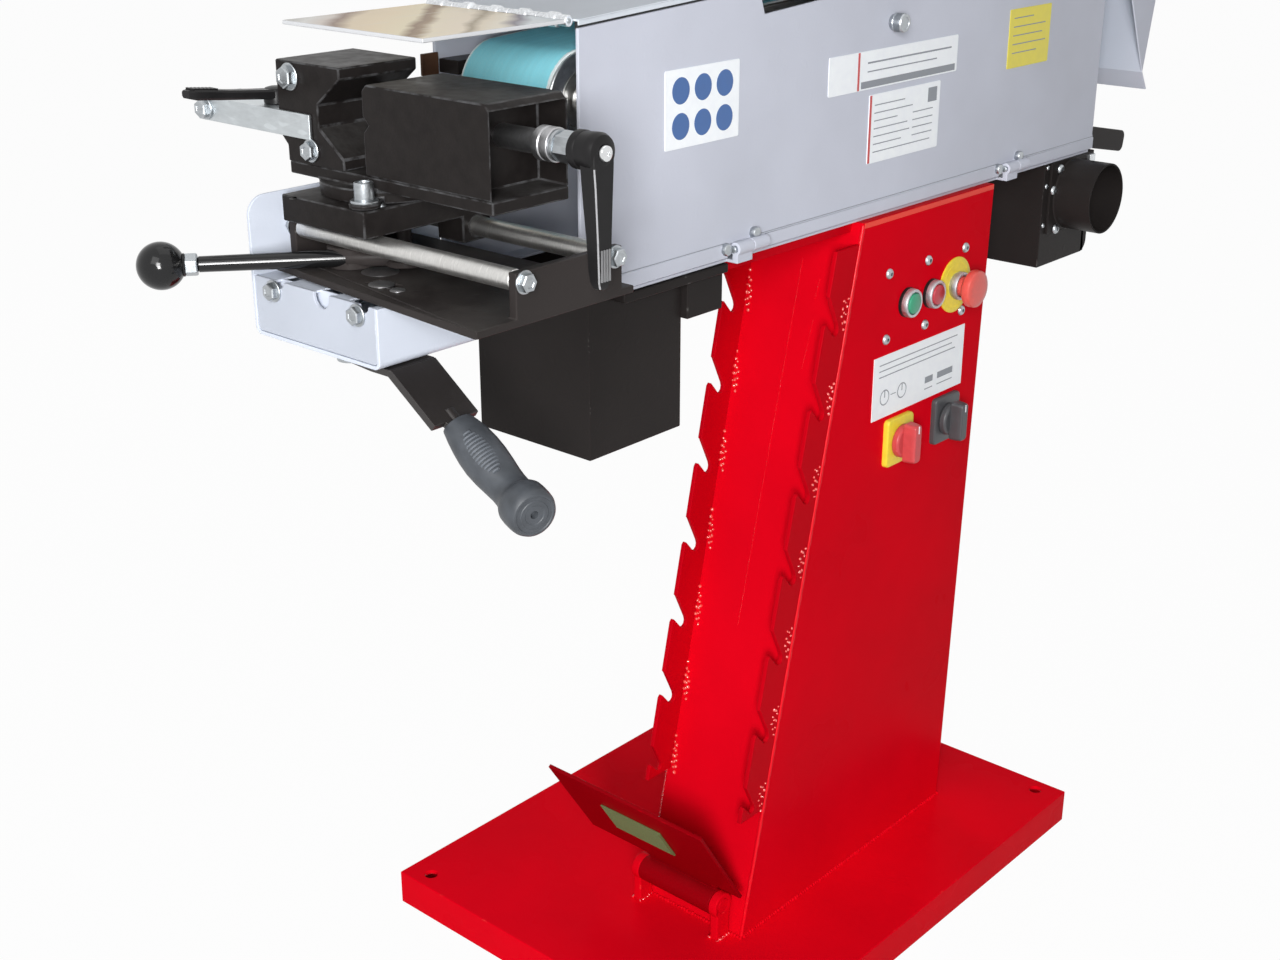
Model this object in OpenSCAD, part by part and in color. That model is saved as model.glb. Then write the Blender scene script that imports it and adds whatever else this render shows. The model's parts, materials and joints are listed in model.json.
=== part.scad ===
// Pedestal belt grinder with a tube-notching vise at its front end.
// +X runs from the vise to the drive wheel, -Y faces the operator, +Z is up.
// The origin is the centre of the base pan's underside.

/* [Base] */
// Length of the base pan along X
base_l = 650; // [560:5:800]
// Width of the base pan along Y
base_w = 480; // [420:5:600]
// Height of the base pan
base_h = 40; // [30:1:60]
// Sheet thickness of the base pan
base_t = 5; // [4:0.5:8]
// Diameter of the floor anchor holes
anchor_d = 14; // [9:1:18]
// Distance of an anchor hole from the ends of the pan
anchor_inset_x = 20; // [16:1:40]
// Distance of an anchor hole from the sides of the pan
anchor_inset_y = 30; // [16:1:40]

/* [Column] */
// Height of the column's top above the floor
head_z = 785; // [700:5:950]
// Width of the column across Y
column_w = 132; // [120:1:160]
// Sheet thickness of the column
column_t = 4; // [3:0.5:6]
// Depth of the column at its foot
column_foot_l = 382; // [330:1:420]
// Depth of the column at its top
column_top_l = 244; // [230:1:280]
// X of the column's front edge at its foot
column_front = -166; // [-200:1:-140]
// How far the front face leans back over its height
column_lean = 166; // [120:1:200]
// Y of the column's operator face
column_near = -125; // [-140:1:-121]

/* [Roller rack] */
// Thickness of a rack plate
rack_t = 5; // [4:0.5:8]
// How far a rack plate stands out of the column
rack_d = 38; // [30:1:50]
// Height between two hooks
rack_pitch = 83; // [60:1:95]
// Width of a hook's seat
rack_seat_d = 16; // [12:1:20]
// Number of hooks on a plate
rack_hooks = 7; // [4:1:7]

/* [Foot pedal] */
// Width of the pedal plate
pedal_w = 210; // [160:1:230]
// Length of the pedal plate up its slope
pedal_l = 126; // [100:1:150]
// Rise of the pedal plate from the floor, degrees
pedal_rise = 57; // [45:1:62]
// Diameter of the pivot shaft
pedal_shaft_d = 16; // [12:1:20]
// Outer diameter of the pivot tube
pedal_tube_d = 28; // [26:1:32]

/* [Housing] */
// X of the housing's front edge
house_front = -394; // [-420:1:-380]
// Length of the housing
house_l = 860; // [830:1:900]
// Y of the housing's operator face
house_near = -120; // [-124:1:-116]
// Width of the housing
house_w = 168; // [160:1:210]
// Height of the housing at its front edge
house_h = 222; // [215:1:270]
// Slope of the lid, degrees
lid_slope = 3; // [1:0.5:4]
// Sheet thickness of the housing
sheet_t = 3; // [2:0.5:4]
// Length of the front flap
flap_l = 150; // [100:1:170]

/* [Belt drive] */
// Width of the abrasive belt
belt_w = 100; // [75:1:110]
// Thickness of the abrasive belt
belt_t = 1.5; // [1:0.1:2]
// Diameter of the front roller
roller_d = 76; // [42:1:80]
// Diameter of the drive wheel
wheel_d = 200; // [160:1:210]
// Distance between the two wheel axes along X
wheel_span = 776; // [740:1:790]
// Height of the roller axis above the housing floor
roller_up = 160; // [150:1:165]
// Height of the wheel axis above the housing floor
wheel_up = 145; // [130:1:150]
// Diameter of the roller axle
axle_d = 20; // [16:1:25]
// Diameter of the motor shaft
shaft_d = 28; // [24:1:34]
// Diameter of the motor's flange
motor_flange_d = 160; // [150:1:200]

/* [Front unit] */
// Length of the tray in front of the housing
tray_l = 198; // [190:1:230]
// Diameter of the guide rods
rod_d = 16; // [12:1:18]
// Distance between the guide rods
rod_span = 95; // [90:1:110]
// Length of the guide rods
rod_l = 239; // [230:1:280]
// Width of the carriage along the rods
carriage_w = 98; // [90:1:120]
// Diameter of the ball knob
ball_d = 40; // [30:1:45]
// Length of the ball lever from its hub to the ball
ball_lever_l = 188; // [160:1:210]
// Width of the feed lever's bar
feed_bar_w = 45; // [35:1:55]

/* [Vise] */
// Length of the moving jaw
jaw_l = 137; // [110:1:150]
// Depth of both jaws along the tube
jaw_d = 78; // [60:1:80]
// Diameter of the swivel disc
swivel_d = 104; // [90:1:110]
// Diameter of the vise spindle
spindle_d = 18; // [14:1:20]
// Length of the crank from its axis to its tip
crank_l = 98; // [80:1:100]

/* [Extraction] */
// Outer diameter of the hose spigot
spigot_d = 80; // [60:1:90]
// Length of the hose spigot
spigot_l = 45; // [30:1:60]

/* [Controls] */
// Diameter of the push button bezels
bezel_d = 30; // [28:0.5:34]
// Diameter of the push button caps
cap_d = 21.4; // [18:0.1:21.4]
// Diameter of the emergency stop's head
estop_d = 40; // [35:1:44]
// Side of the rotary switch plates
switch_w = 48; // [44:1:50]

/* [Fits] */
// Radial clearance of a shaft that turns in its bore
run_fit = 0.05; // [0.02:0.01:0.1]
// Gap between pieces that slide or swing past each other
gap = 0.3; // [0.3:0.05:0.5]
// Gap between the belt and the wheels it wraps
belt_gap = 0.3; // [0.3:0.05:0.5]

/* [Hidden] */
$fn = 64;

red = "#c80018";
grey = "#c6c9d2";
black = "#2b2929";
zinc = "#b9c4c6";
steel = "#a9abad";

// Column outline
column_far = column_near + column_w;
column_rear = column_front + column_foot_l;
column_top_front = column_front + column_lean;
column_top_rear = column_top_front + column_top_l;
function front_x(z) = column_front + column_lean * (z - base_h) / (head_z - base_h);

// Roller rack
rack_top = head_z - 20;
rack_bottom = base_h + 145;
rack_first = head_z - 64;
rack_entry = 24;
rack_in = 15;

// Foot pedal
pedal_y = column_near + column_w / 2 + 9;
pedal_z = base_h + 40;
pedal_x = front_x(pedal_z) - pedal_tube_d / 2 - 6;
pedal_t = 4;
pedal_low = 22;
pedal_shift = 20;
pedal_tube_l = 98;
lug_t = 10;
pad_l = 47;
pad_w = 83;
pad_up = 41;
pad_t = 2;

// Housing outline
house_rear = house_front + house_l;
house_far = house_near + house_w;
house_top = head_z + house_h;
belt_y = house_near + house_w / 2;
function top_z(x) = house_top + (x - house_front) * tan(lid_slope);
lid_gap = 5;
lid_t = 2;
lid_l = house_l / cos(lid_slope);
hinge_r = 6;
hinge_pin_d = 6;
hinge_len = 22;
door_axis_y = house_near - hinge_r;
door_axis_z = head_z + 13;
door_low = head_z + 5;
door_hinges = [house_front + 192, house_front + 656];
lid_axis_y = house_far + hinge_r;
lid_axis_z = lid_gap + lid_t / 2;
lid_hinges = [100, 700];
lid_hinge_len = 30;
door_screw_x = house_front + 433;
door_screw_z = head_z + 187;
door_screw_d = 18;
cut_x = house_front + 225;
cut_l = 112;
cut_h = 22;

// Flap and rear guard hang on knuckles along the lid's two ends
knuckle_r = 4;
lid_pin_d = 4;
knuckle_out = 5;
knuckle_near = house_near + 4;
knuckle_count = 5;
knuckle_len = (house_w - 8) / knuckle_count;
flap_rise = lid_slope;
flap_t = 3.2;
guard_t = 2;
function lid_point(x, z) = [house_front + x * cos(lid_slope) - z * sin(lid_slope),
  house_top + x * sin(lid_slope) + z * cos(lid_slope)];
guard_axis = lid_point(lid_l + knuckle_out, lid_axis_z);
guard_path = [[6, -3], [142, -45], [114, -195], [129, -217]];

// Belt path
roller_x = house_front + roller_d / 2;
roller_z = head_z + roller_up;
wheel_x = roller_x + wheel_span;
wheel_z = head_z + wheel_up;
roller_c = [roller_x, roller_z];
wheel_c = [wheel_x, wheel_z];
axis_dist = norm(wheel_c - roller_c);
axis_rise = atan2(wheel_z - roller_z, wheel_x - roller_x);
run_angle = asin((wheel_d - roller_d) / 2 / axis_dist);
function unit(a) = [cos(a), sin(a)];
normal_up = unit(axis_rise + 90 + run_angle);
normal_down = unit(axis_rise - 90 - run_angle);
along_top = unit(axis_rise + run_angle);
roller_l = belt_w + 4;
roller_near = belt_y - roller_l / 2;
roller_far = belt_y + roller_l / 2;
bearing_d = 47;
bearing_w = 14;
tyre_t = 10;
arm_w = 14;
arm_h = 26;
arm_near = roller_far + 8;
arm_l = 250;
guide_x = roller_x + 136;
guide_l = 100;

// Motor
motor_r = 62;
motor_l = 190;
fin_h = 9;
fin_count = 24;
fan_l = 48;
motor_flange_t = 10;

// Boxes under the housing
beam_h = 44;
beam_w = 30;
beam_z = head_z - beam_h;
beam_near = column_near + 13;
beam_far = column_far - rack_t - gap - beam_w;
spark_x = house_front + 24;
spark_l = 120;
spark_w = 136;
spark_h = 146;
spark_near = beam_near + 7;
extract_x = house_front + 765;
extract_l = 114;
extract_w = 155;
extract_h = 120;
extract_near = house_near + 5;
extract_z = head_z - extract_h;
box_t = 3;
spigot_x = extract_x + extract_l / 2 + 2;
spigot_z = extract_z + 78;
spigot_t = 2;
flange_w = 96;
flange_t = 3;
flange_bolt = 41;

// Tray and feed table
tray_front = house_front - tray_l;
tray_near = house_near + 20;
tray_far = house_far + 3;
tray_z = head_z - 11;
tray_top = tray_z + 48;
wall_top = tray_z + 110;
rail_w = 12;
table_z = tray_top + 2;
table_t = 6;
table_top = table_z + table_t;
table_front = tray_front + 14;
table_l = 142;
plate_t = 8;
plate_h = 33.5;
table_skew = 22;
rods_far = tray_far - 19;
rods_near = rods_far - rod_l;
rod_z = table_top + 26;
rod_front_x = table_front + 25.5;
rod_rear_x = rod_front_x + rod_span;
rod_bolt_d = 8;
tray_bolts = [tray_far - 27, tray_near + 23];
tray_bolt_z = tray_z + 41;

// Feed lever turns on a pivot under the tray and drives the table by a pin
feed_x = tray_front + 32;
feed_y = (tray_near + tray_far) / 2 - 2;
feed_arm = 50;
feed_z = tray_z - 7;
feed_t = 6;
feed_pivot_d = 12;
feed_pin_d = 9;
feed_bend_y = tray_near;
feed_drop = 35.5;
grip_start = 58;
grip_l = 104;
tang_d = 10;

// Carriage and vise
carriage_far = rods_far - 1;
carriage_near = carriage_far - carriage_w;
carriage_z = rod_z + rod_d / 2 + 1;
carriage_h = 21;
carriage_top = carriage_z + carriage_h;
carriage_front = rod_front_x - 19.5;
carriage_l = rod_span + 32;
swivel_x = rod_front_x + 44.5;
swivel_y = carriage_near + 47;
swivel_h = 10;
swivel_stud_d = 20;
lock_lug = [-54, -37];
lock_lug_t = 4;
bed_z = carriage_top + swivel_h;
bed_t = 10;
bed_far = swivel_y + 70;
bed_near = swivel_y - 160;
jaw_z = bed_z + bed_t;
jaw_front = swivel_x - jaw_d / 2 - 1;
vise_z = roller_z;
fixed_far = swivel_y + 78;
fixed_tip = swivel_y + 2;
fixed_top = vise_z + 39;
vee_y = swivel_y + 30;
vee_h = 8.5;
jaw_land = 9;
moving_far = swivel_y - 23;
moving_near = moving_far - jaw_l;
moving_top = vise_z + 30;
spindle_near = moving_near - 34;
crank_near = spindle_near - 38;
crank_hub_d = 28;
crank_arm_t = 13;
crank_arm_w = 20;
clamp_x = swivel_x - 7;
clamp_y = swivel_y - 25;
clamp_z = table_top + 9;
clamp_stud_d = 12;
clamp_hub_d = 28;
clamp_turn = 141.5;
ball_rod_d = 10;
bracket_t = 3;
bracket_h = 19.5;
bracket_far = fixed_far + 104;
bracket_near = fixed_far - 41;
bracket_z = vise_z - 19;
bracket_front = jaw_front - gap - bracket_t;
stop_x = jaw_front + 15;
stop_y = fixed_far + 22;
stop_lever_l = 78;
stop_stud_d = 8;
stop_tilt = 6.5;

// Tension lever at the housing's rear
tension_x = house_rear + 14;
tension_z = head_z + 14.5;
tension_y = house_near + 23;
tension_l = 95;
tension_h = 25;
tension_t = 10;
tension_pin_d = 10;
tension_drop = 11;

// Controls on the column's operator face
button_z = head_z - 97;
button_x = [for (i = [0:2]) column_top_front + 85 + 45 * i];
bezel_h = 10;
cap_hole_d = cap_d + 2 * gap;
wall_hole_d = cap_hole_d + 0.6;
ring_d = 60;
ring_t = 1.5;
switch_z = head_z - 245;
switch_h = 52;
switch_t = 6;
main_x = column_top_front + 79;
mode_x = column_top_front + 170;
knob_stem_d = 10;
knob_d = 30;
screw_x = [for (i = [0:2]) column_top_front + 49 + 71.5 * i];
screw_z = [head_z - 60, head_z - 129];
screw_d = 5;
card_x = column_top_front + 30;
card_l = 172;
card_z = head_z - 214;
card_h = 68;
card_t = 0.8;

// Outline in the X-Z plane, drawn out from y0 to y1
module xz(y0, y1) {
  translate([0, y1, 0]) rotate([90, 0, 0]) linear_extrude(y1 - y0) children();
}

// Outline in the Y-Z plane, drawn out from x0 to x1
module yz(x0, x1) {
  translate([x0, 0, 0]) rotate([90, 0, 90]) linear_extrude(x1 - x0) children();
}

// Box between two corners
module box(a, b) {
  translate(a) cube(b - a);
}

// Round bar along Y
module bar_y(x, z, d, y0, y1) {
  translate([x, y0, z]) rotate([-90, 0, 0]) cylinder(d = d, h = y1 - y0);
}

// Round bar along Z
module bar_z(x, y, d, z0, z1) {
  translate([x, y, z0]) cylinder(d = d, h = z1 - z0);
}

// Hexagon bolt whose head stands up from z = 0 on a washer, with its shank below
module hex_bolt(d, shank) {
  cylinder(d = 2.1 * d, h = 0.18 * d);
  cylinder(d = 1.75 * d, h = 0.85 * d, $fn = 6);
  translate([0, 0, -shank]) cylinder(d = d, h = shank + 0.1);
}

// Round-headed screw that stands up from z = 0
module dome_screw(d, shank) {
  intersection() {
    translate([0, 0, -0.8 * d]) sphere(d = 2.8 * d);
    cylinder(d = 1.9 * d, h = d);
  }
  translate([0, 0, -shank]) cylinder(d = d, h = shank + 0.1);
}

// Sheet folded along a path in the X-Z plane
module folded(path, t) {
  for (i = [0:len(path) - 2]) {
    d = path[i + 1] - path[i];
    translate(path[i]) rotate(atan2(d[1], d[0])) translate([0, -t / 2]) square([norm(d), t]);
    if (i > 0) translate(path[i]) circle(d = t);
  }
}

// Pieces laid out along the sloping lid
module on_lid() {
  translate([house_front, 0, house_top]) rotate([0, -lid_slope, 0]) children();
}

module base_pan() {
  color(red) {
    difference() {
      box([-base_l / 2, -base_w / 2, 0], [base_l / 2, base_w / 2, base_h]);
      box([-base_l / 2 + base_t, -base_w / 2 + base_t, -1],
        [base_l / 2 - base_t, base_w / 2 - base_t, base_h - base_t]);
      for (sx = [-1, 1], sy = [-1, 1])
        bar_z(sx * (base_l / 2 - anchor_inset_x), sy * (base_w / 2 - anchor_inset_y),
          anchor_d, base_h - 2 * base_t, base_h + 1);
    }
    box([-12, -base_w / 2 + base_t / 2, 0], [12, base_w / 2 - base_t / 2, base_h - base_t / 2]);
  }
}

module column() {
  color(red) difference() {
    xz(column_near, column_far) polygon([[column_front, base_h], [column_rear, base_h],
      [column_top_rear, head_z], [column_top_front, head_z]]);
    xz(column_near + column_t, column_far - column_t) polygon([
      [column_front + column_t, base_h - 1], [column_rear - column_t, base_h - 1],
      [column_top_rear - column_t, head_z - column_t], [column_top_front + column_t, head_z - column_t]]);
    for (x = button_x) bar_y(x, button_z, wall_hole_d, column_near - 1, column_near + column_t + 1);
    for (x = [main_x, mode_x])
      bar_y(x, switch_z, knob_stem_d + 2 * gap, column_near - 1, column_near + column_t + 1);
    for (x = screw_x, z = screw_z)
      bar_y(x, z, screw_d + 2 * run_fit, column_near - 1, column_near + column_t + 1);
  }
}

// Notched plate that stores spare rollers by their axles
module rack(y0) {
  half = rack_seat_d / 2 - 0.5;
  color(red) xz(y0, y0 + rack_t) difference() {
    polygon([[front_x(rack_bottom), rack_bottom], [front_x(rack_top), rack_top],
      [front_x(rack_top) - rack_d, rack_top], [front_x(rack_bottom) - rack_d, rack_bottom]]);
    for (i = [0:rack_hooks - 1]) {
      z = rack_first - i * rack_pitch;
      x = front_x(z) - rack_d;
      seat = [x + rack_in - rack_seat_d / 2, z - rack_entry];
      translate(seat) circle(d = rack_seat_d);
      polygon([[x - 8, z + 8], [x + 4, z - 4], [seat[0] + half, z - rack_entry + 6],
        [seat[0] + half, seat[1]], [seat[0] - half, seat[1]],
        [seat[0] - half, seat[1] - 3], [x - 20, seat[1] - 3]]);
    }
  }
}

module rack_left() {
  rack(column_far - rack_t);
}

module rack_right() {
  rack(column_near);
}

module pedal_brackets() {
  color(red) for (y = [pedal_y - pedal_tube_l / 2 - gap - lug_t, pedal_y + pedal_tube_l / 2 + gap])
    difference() {
      union() {
        bar_y(pedal_x, pedal_z, pedal_tube_d, y, y + lug_t);
        box([pedal_x - 10, y, base_h], [pedal_x + 10, y + lug_t, pedal_z]);
      }
      bar_y(pedal_x, pedal_z, pedal_shaft_d + 2 * run_fit, y - 1, y + lug_t + 1);
    }
}

module pedal_shaft() {
  end = pedal_tube_l / 2 + gap + lug_t;
  color(zinc) bar_y(pedal_x, pedal_z, pedal_shaft_d, pedal_y - end, pedal_y + end);
}

// Frame whose X axis runs up the pedal plate from the pivot, away from the column
module on_pedal() {
  translate([pedal_x, pedal_y, pedal_z]) rotate([0, pedal_rise - 180, 0]) children();
}

module foot_pedal() {
  back = -pedal_tube_d / 2 + 1;
  color(red) difference() {
    union() {
      bar_y(pedal_x, pedal_z, pedal_tube_d, pedal_y - pedal_tube_l / 2, pedal_y + pedal_tube_l / 2);
      on_pedal() translate([0, -pedal_tube_l / 2 + 4, back])
        cube([pedal_low + 10, pedal_tube_l - 8, pedal_t]);
      on_pedal() translate([pedal_low, pedal_shift - pedal_w / 2, back])
        cube([pedal_l, pedal_w, pedal_t]);
    }
    bar_y(pedal_x, pedal_z, pedal_shaft_d + 2 * run_fit, pedal_y - pedal_w, pedal_y + pedal_w);
  }
}

module pedal_pad() {
  color("#6a8250") on_pedal()
    translate([pedal_low + pad_up, pedal_shift + 6 - pad_w / 2, -pedal_tube_d / 2 + 1 + pedal_t])
      cube([pad_l, pad_w, pad_t]);
}

module main_beam() {
  color(black) for (y = [beam_near, beam_far])
    xz(y, y + beam_w) polygon([[spark_x + spark_l, beam_z], [front_x(beam_z), beam_z],
      [column_top_front, head_z], [spark_x + spark_l, head_z]]);
}

// Fixed half of a door hinge, on a tongue of the housing floor
module door_hinge_fixed(x) {
  difference() {
    union() {
      translate([x, door_axis_y, door_axis_z]) rotate([0, 90, 0]) cylinder(r = hinge_r, h = hinge_len);
      box([x, door_axis_y - sheet_t, head_z], [x + hinge_len, door_axis_y + sheet_t, door_axis_z]);
      box([x, door_axis_y, head_z], [x + hinge_len, house_near + 20, head_z + sheet_t]);
    }
    translate([x - 1, door_axis_y, door_axis_z]) rotate([0, 90, 0])
      cylinder(d = hinge_pin_d + 2 * run_fit, h = hinge_len + 2);
  }
}

// Fixed half of a lid hinge on the far panel, in the lid's sloping frame
module lid_hinge_fixed(x) {
  difference() {
    union() {
      translate([x, lid_axis_y, lid_axis_z]) rotate([0, 90, 0])
        cylinder(r = hinge_r, h = lid_hinge_len);
      box([x, house_far - sheet_t / 2, -24], [x + lid_hinge_len, lid_axis_y, lid_axis_z - hinge_r + 3]);
    }
    translate([x - 1, lid_axis_y, lid_axis_z]) rotate([0, 90, 0])
      cylinder(d = hinge_pin_d + 2 * run_fit, h = lid_hinge_len + 2);
    box([x - 1, house_far - sheet_t - 1, 0], [x + lid_hinge_len + 1, house_far, 20]);
  }
}

module housing_body() {
  far_in = house_far - sheet_t;
  floor_near = house_near + sheet_t + 0.5;
  color(grey) {
    difference() {
      union() {
        xz(far_in, house_far) polygon([[house_front, head_z], [house_rear, head_z],
          [house_rear, top_z(house_rear)], [house_front, house_top]]);
        box([house_front, floor_near, head_z], [house_rear, house_far, head_z + sheet_t]);
        box([guide_x, arm_near - 6, roller_z - arm_h / 2 - 8],
          [guide_x + guide_l, house_far, roller_z + arm_h / 2 + 8]);
        box([door_screw_x - 10, house_near + 8, head_z],
          [door_screw_x + 10, roller_near - 4, door_screw_z + 14]);
      }
      bar_y(wheel_x, wheel_z, shaft_d + 32, far_in - 1, house_far + 1);
      box([guide_x - 1, arm_near - gap, roller_z - arm_h / 2 - gap],
        [guide_x + guide_l + 1, arm_near + arm_w + gap, roller_z + arm_h / 2 + gap]);
      box([spark_x + box_t, spark_near + box_t, head_z - 1],
        [spark_x + spark_l - box_t, spark_near + spark_w - box_t, head_z + sheet_t + 1]);
      box([extract_x + box_t, floor_near + 6, head_z - 1],
        [house_rear - 10, extract_near + extract_w - box_t, head_z + sheet_t + 1]);
    }
    for (x = door_hinges) door_hinge_fixed(x);
    on_lid() for (x = lid_hinges) lid_hinge_fixed(x);
    difference() {
      box([house_rear - 5, tension_y - 4, head_z], [tension_x + 12, tension_y + 6, tension_z + 12]);
      box([house_rear, tension_y - 5, head_z - 1], [tension_x + 13, tension_y - gap, tension_z + 13]);
    }
    bar_y(tension_x, tension_z, tension_pin_d, tension_y - tension_t - 4, tension_y + 2);
  }
}

module front_tray() {
  r = 16;
  color(grey) difference() {
    union() {
      box([tray_front, tray_near, tray_z], [house_front, tray_far, tray_z + sheet_t]);
      box([tray_front, tray_near, tray_z], [tray_front + sheet_t, tray_far, tray_top]);
      box([tray_front, tray_near, tray_z], [house_front, tray_near + sheet_t, tray_top]);
      box([house_front - sheet_t, tray_near, tray_z], [house_front, tray_far, tray_top]);
      xz(tray_far - sheet_t, tray_far) union() {
        polygon([[tray_front, tray_z], [house_front, tray_z], [house_front, wall_top],
          [tray_front + r, wall_top], [tray_front + r, wall_top - r], [tray_front, wall_top - r]]);
        translate([tray_front + r, wall_top - r]) circle(r = r);
      }
      for (y = [tray_near + sheet_t, tray_far - sheet_t - rail_w])
        box([tray_front + 10, y, tray_z], [house_front - 10, y + rail_w, table_z - gap]);
    }
    for (y = tray_bolts) {
      translate([tray_front - 1, y, tray_bolt_z]) rotate([0, 90, 0])
        cylinder(d = 8 + 2 * run_fit, h = sheet_t + 2);
      translate([tray_front - 1, y - 7, tray_top]) rotate([0, 90, 0]) cylinder(d = 11, h = sheet_t + 2);
    }
    translate([tray_front - 1, (tray_near + tray_far) / 2 - 10, tray_top - 3]) {
      rotate([0, 90, 0]) cylinder(d = 18, h = sheet_t + 2);
      box([0, -9, 0], [sheet_t + 2, 9, 4]);
    }
    bar_z(feed_x, feed_y, feed_pivot_d + 2 * run_fit, tray_z - 1, tray_z + sheet_t + 1);
    box([feed_x - 28, feed_y - feed_arm - 7, tray_z - 1],
      [feed_x + 24, feed_y - feed_arm + 20, tray_z + sheet_t + 1]);
  }
}

module spark_box() {
  z = head_z - spark_h;
  color(black) difference() {
    box([spark_x, spark_near, z], [spark_x + spark_l, spark_near + spark_w, head_z]);
    box([spark_x + box_t, spark_near + box_t, z + box_t],
      [spark_x + spark_l - box_t, spark_near + spark_w - box_t, head_z + 1]);
  }
}

module extraction_box() {
  color(black) difference() {
    box([extract_x, extract_near, extract_z], [extract_x + extract_l, extract_near + extract_w, head_z]);
    box([extract_x + box_t, extract_near + box_t, extract_z + box_t],
      [extract_x + extract_l - box_t, extract_near + extract_w - box_t, head_z + 1]);
    bar_y(spigot_x, spigot_z, spigot_d - 2 * spigot_t, extract_near - 1, extract_near + box_t + 1);
    difference() {
      box([extract_x + extract_l - 14, extract_near - 1, extract_z - 1],
        [extract_x + extract_l + 1, extract_near + extract_w + 1, extract_z + 14]);
      bar_y(extract_x + extract_l - 14, extract_z + 14, 28, extract_near - 2,
        extract_near + extract_w + 2);
    }
  }
}

module extraction_spigot() {
  y = extract_near - flange_t;
  color(black) difference() {
    union() {
      box([spigot_x - flange_w / 2, y, spigot_z - flange_w / 2 + 8],
        [spigot_x + flange_w / 2, extract_near, min(spigot_z + flange_w / 2, head_z)]);
      bar_y(spigot_x, spigot_z, spigot_d, y - spigot_l, y + 1);
    }
    bar_y(spigot_x, spigot_z, spigot_d - 2 * spigot_t, y - spigot_l - 1, extract_near + 1);
  }
}

// Steel plate that backs the upper run of the belt
module platen() {
  top = roller_c + (roller_d / 2 - 1) * normal_up;
  a = top + 190 * along_top;
  b = top + 600 * along_top;
  color(steel) xz(belt_y - belt_w / 2, house_far - sheet_t)
    polygon([a, b, b - 8 * normal_up, a - 8 * normal_up]);
}

module motor_body() {
  y0 = house_far;
  y1 = y0 + motor_flange_t + motor_l;
  color("#4a5560") difference() {
    union() {
      bar_y(wheel_x, wheel_z, motor_flange_d, y0, y0 + motor_flange_t);
      bar_y(wheel_x, wheel_z, 2 * motor_r, y0, y1);
      for (i = [0:fin_count - 1]) {
        a = 360 * i / fin_count;
        if (abs(a - 90) > 35)
          translate([wheel_x, y0 + motor_flange_t + 12, wheel_z]) rotate([0, -a, 0])
            translate([motor_r - 2, 0, -1.5]) cube([fin_h + 2, motor_l - 24, 3]);
      }
    }
    bar_y(wheel_x, wheel_z, shaft_d + 2, y0 - 1, y1 + 1);
  }
}

module motor_fan_cover() {
  y0 = house_far + motor_flange_t + motor_l;
  color("#3d464f") difference() {
    bar_y(wheel_x, wheel_z, 2 * motor_r + 12, y0, y0 + fan_l);
    bar_y(wheel_x, wheel_z, 2 * motor_r + 6, y0 - 1, y0 + fan_l - 3);
    for (i = [0:11]) rotate_at(wheel_x, wheel_z, 30 * i)
      bar_y(0, motor_r - 20, 16, y0 + fan_l - 4, y0 + fan_l + 1);
  }
}

// Turns a piece about an axis along Y through (x, z)
module rotate_at(x, z, a) {
  translate([x, 0, z]) rotate([0, a, 0]) children();
}

module terminal_box() {
  z = wheel_z + motor_r;
  y = house_far + motor_flange_t + 55;
  color("#3d464f") difference() {
    box([wheel_x - 42, y, z - 12], [wheel_x + 42, y + 80, z + 34]);
    bar_y(wheel_x, wheel_z, 2 * motor_r, y - 1, y + 81);
    translate([wheel_x - 43, y + 55, z + 12]) rotate([0, 90, 0]) cylinder(d = 20, h = 12);
  }
}

// Area inside the belt, grown by o around both wheels
module belt_area(o) {
  r1 = roller_d / 2 + o;
  r2 = wheel_d / 2 + o;
  translate(roller_c) circle(r = r1);
  translate(wheel_c) circle(r = r2);
  polygon([roller_c + r1 * normal_up, wheel_c + r2 * normal_up,
    wheel_c + r2 * normal_down, roller_c + r1 * normal_down]);
}

module abrasive_belt() {
  color("#5fb9c0") xz(belt_y - belt_w / 2, belt_y + belt_w / 2) difference() {
    belt_area(belt_gap + belt_t);
    belt_area(belt_gap);
  }
}

module frame_bolts() {
  color(zinc) {
    for (y = tray_bolts) translate([tray_front, y, tray_bolt_z]) rotate([0, -90, 0]) hex_bolt(8, 6);
    for (sx = [-1, 1], sz = [-1, 0.62])
      translate([spigot_x + sx * flange_bolt, extract_near - flange_t, spigot_z + sz * (flange_bolt - 8)])
        rotate([90, 0, 0]) cylinder(d = 9, h = 5);
    for (x = screw_x, z = screw_z)
      translate([x, column_near, z]) rotate([90, 0, 0]) dome_screw(screw_d, 10);
  }
}

module instruction_plate() {
  color("#e8eaf0") box([card_x, column_near - card_t, card_z],
    [card_x + card_l, column_near, card_z + card_h]);
}

module button_bezels() {
  color(zinc) for (i = [0:2]) {
    y = column_near - (i == 2 ? ring_t : 0);
    difference() {
      bar_y(button_x[i], button_z, bezel_d, y - bezel_h, y);
      bar_y(button_x[i], button_z, cap_hole_d, y - bezel_h - 1, y + 1);
    }
  }
}

module switch_plates() {
  color("#e0c020") difference() {
    bar_y(button_x[2], button_z, ring_d, column_near - ring_t, column_near);
    bar_y(button_x[2], button_z, cap_hole_d, column_near - ring_t - 1, column_near + 1);
  }
  for (x = [main_x, mode_x]) color(x == main_x ? "#e0c020" : "#3a3d42") difference() {
    box([x - switch_w / 2, column_near - switch_t, switch_z - switch_h / 2],
      [x + switch_w / 2, column_near, switch_z + switch_h / 2]);
    bar_y(x, switch_z, knob_stem_d + 2 * run_fit, column_near - switch_t - 1, column_near + 1);
  }
}

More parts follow.
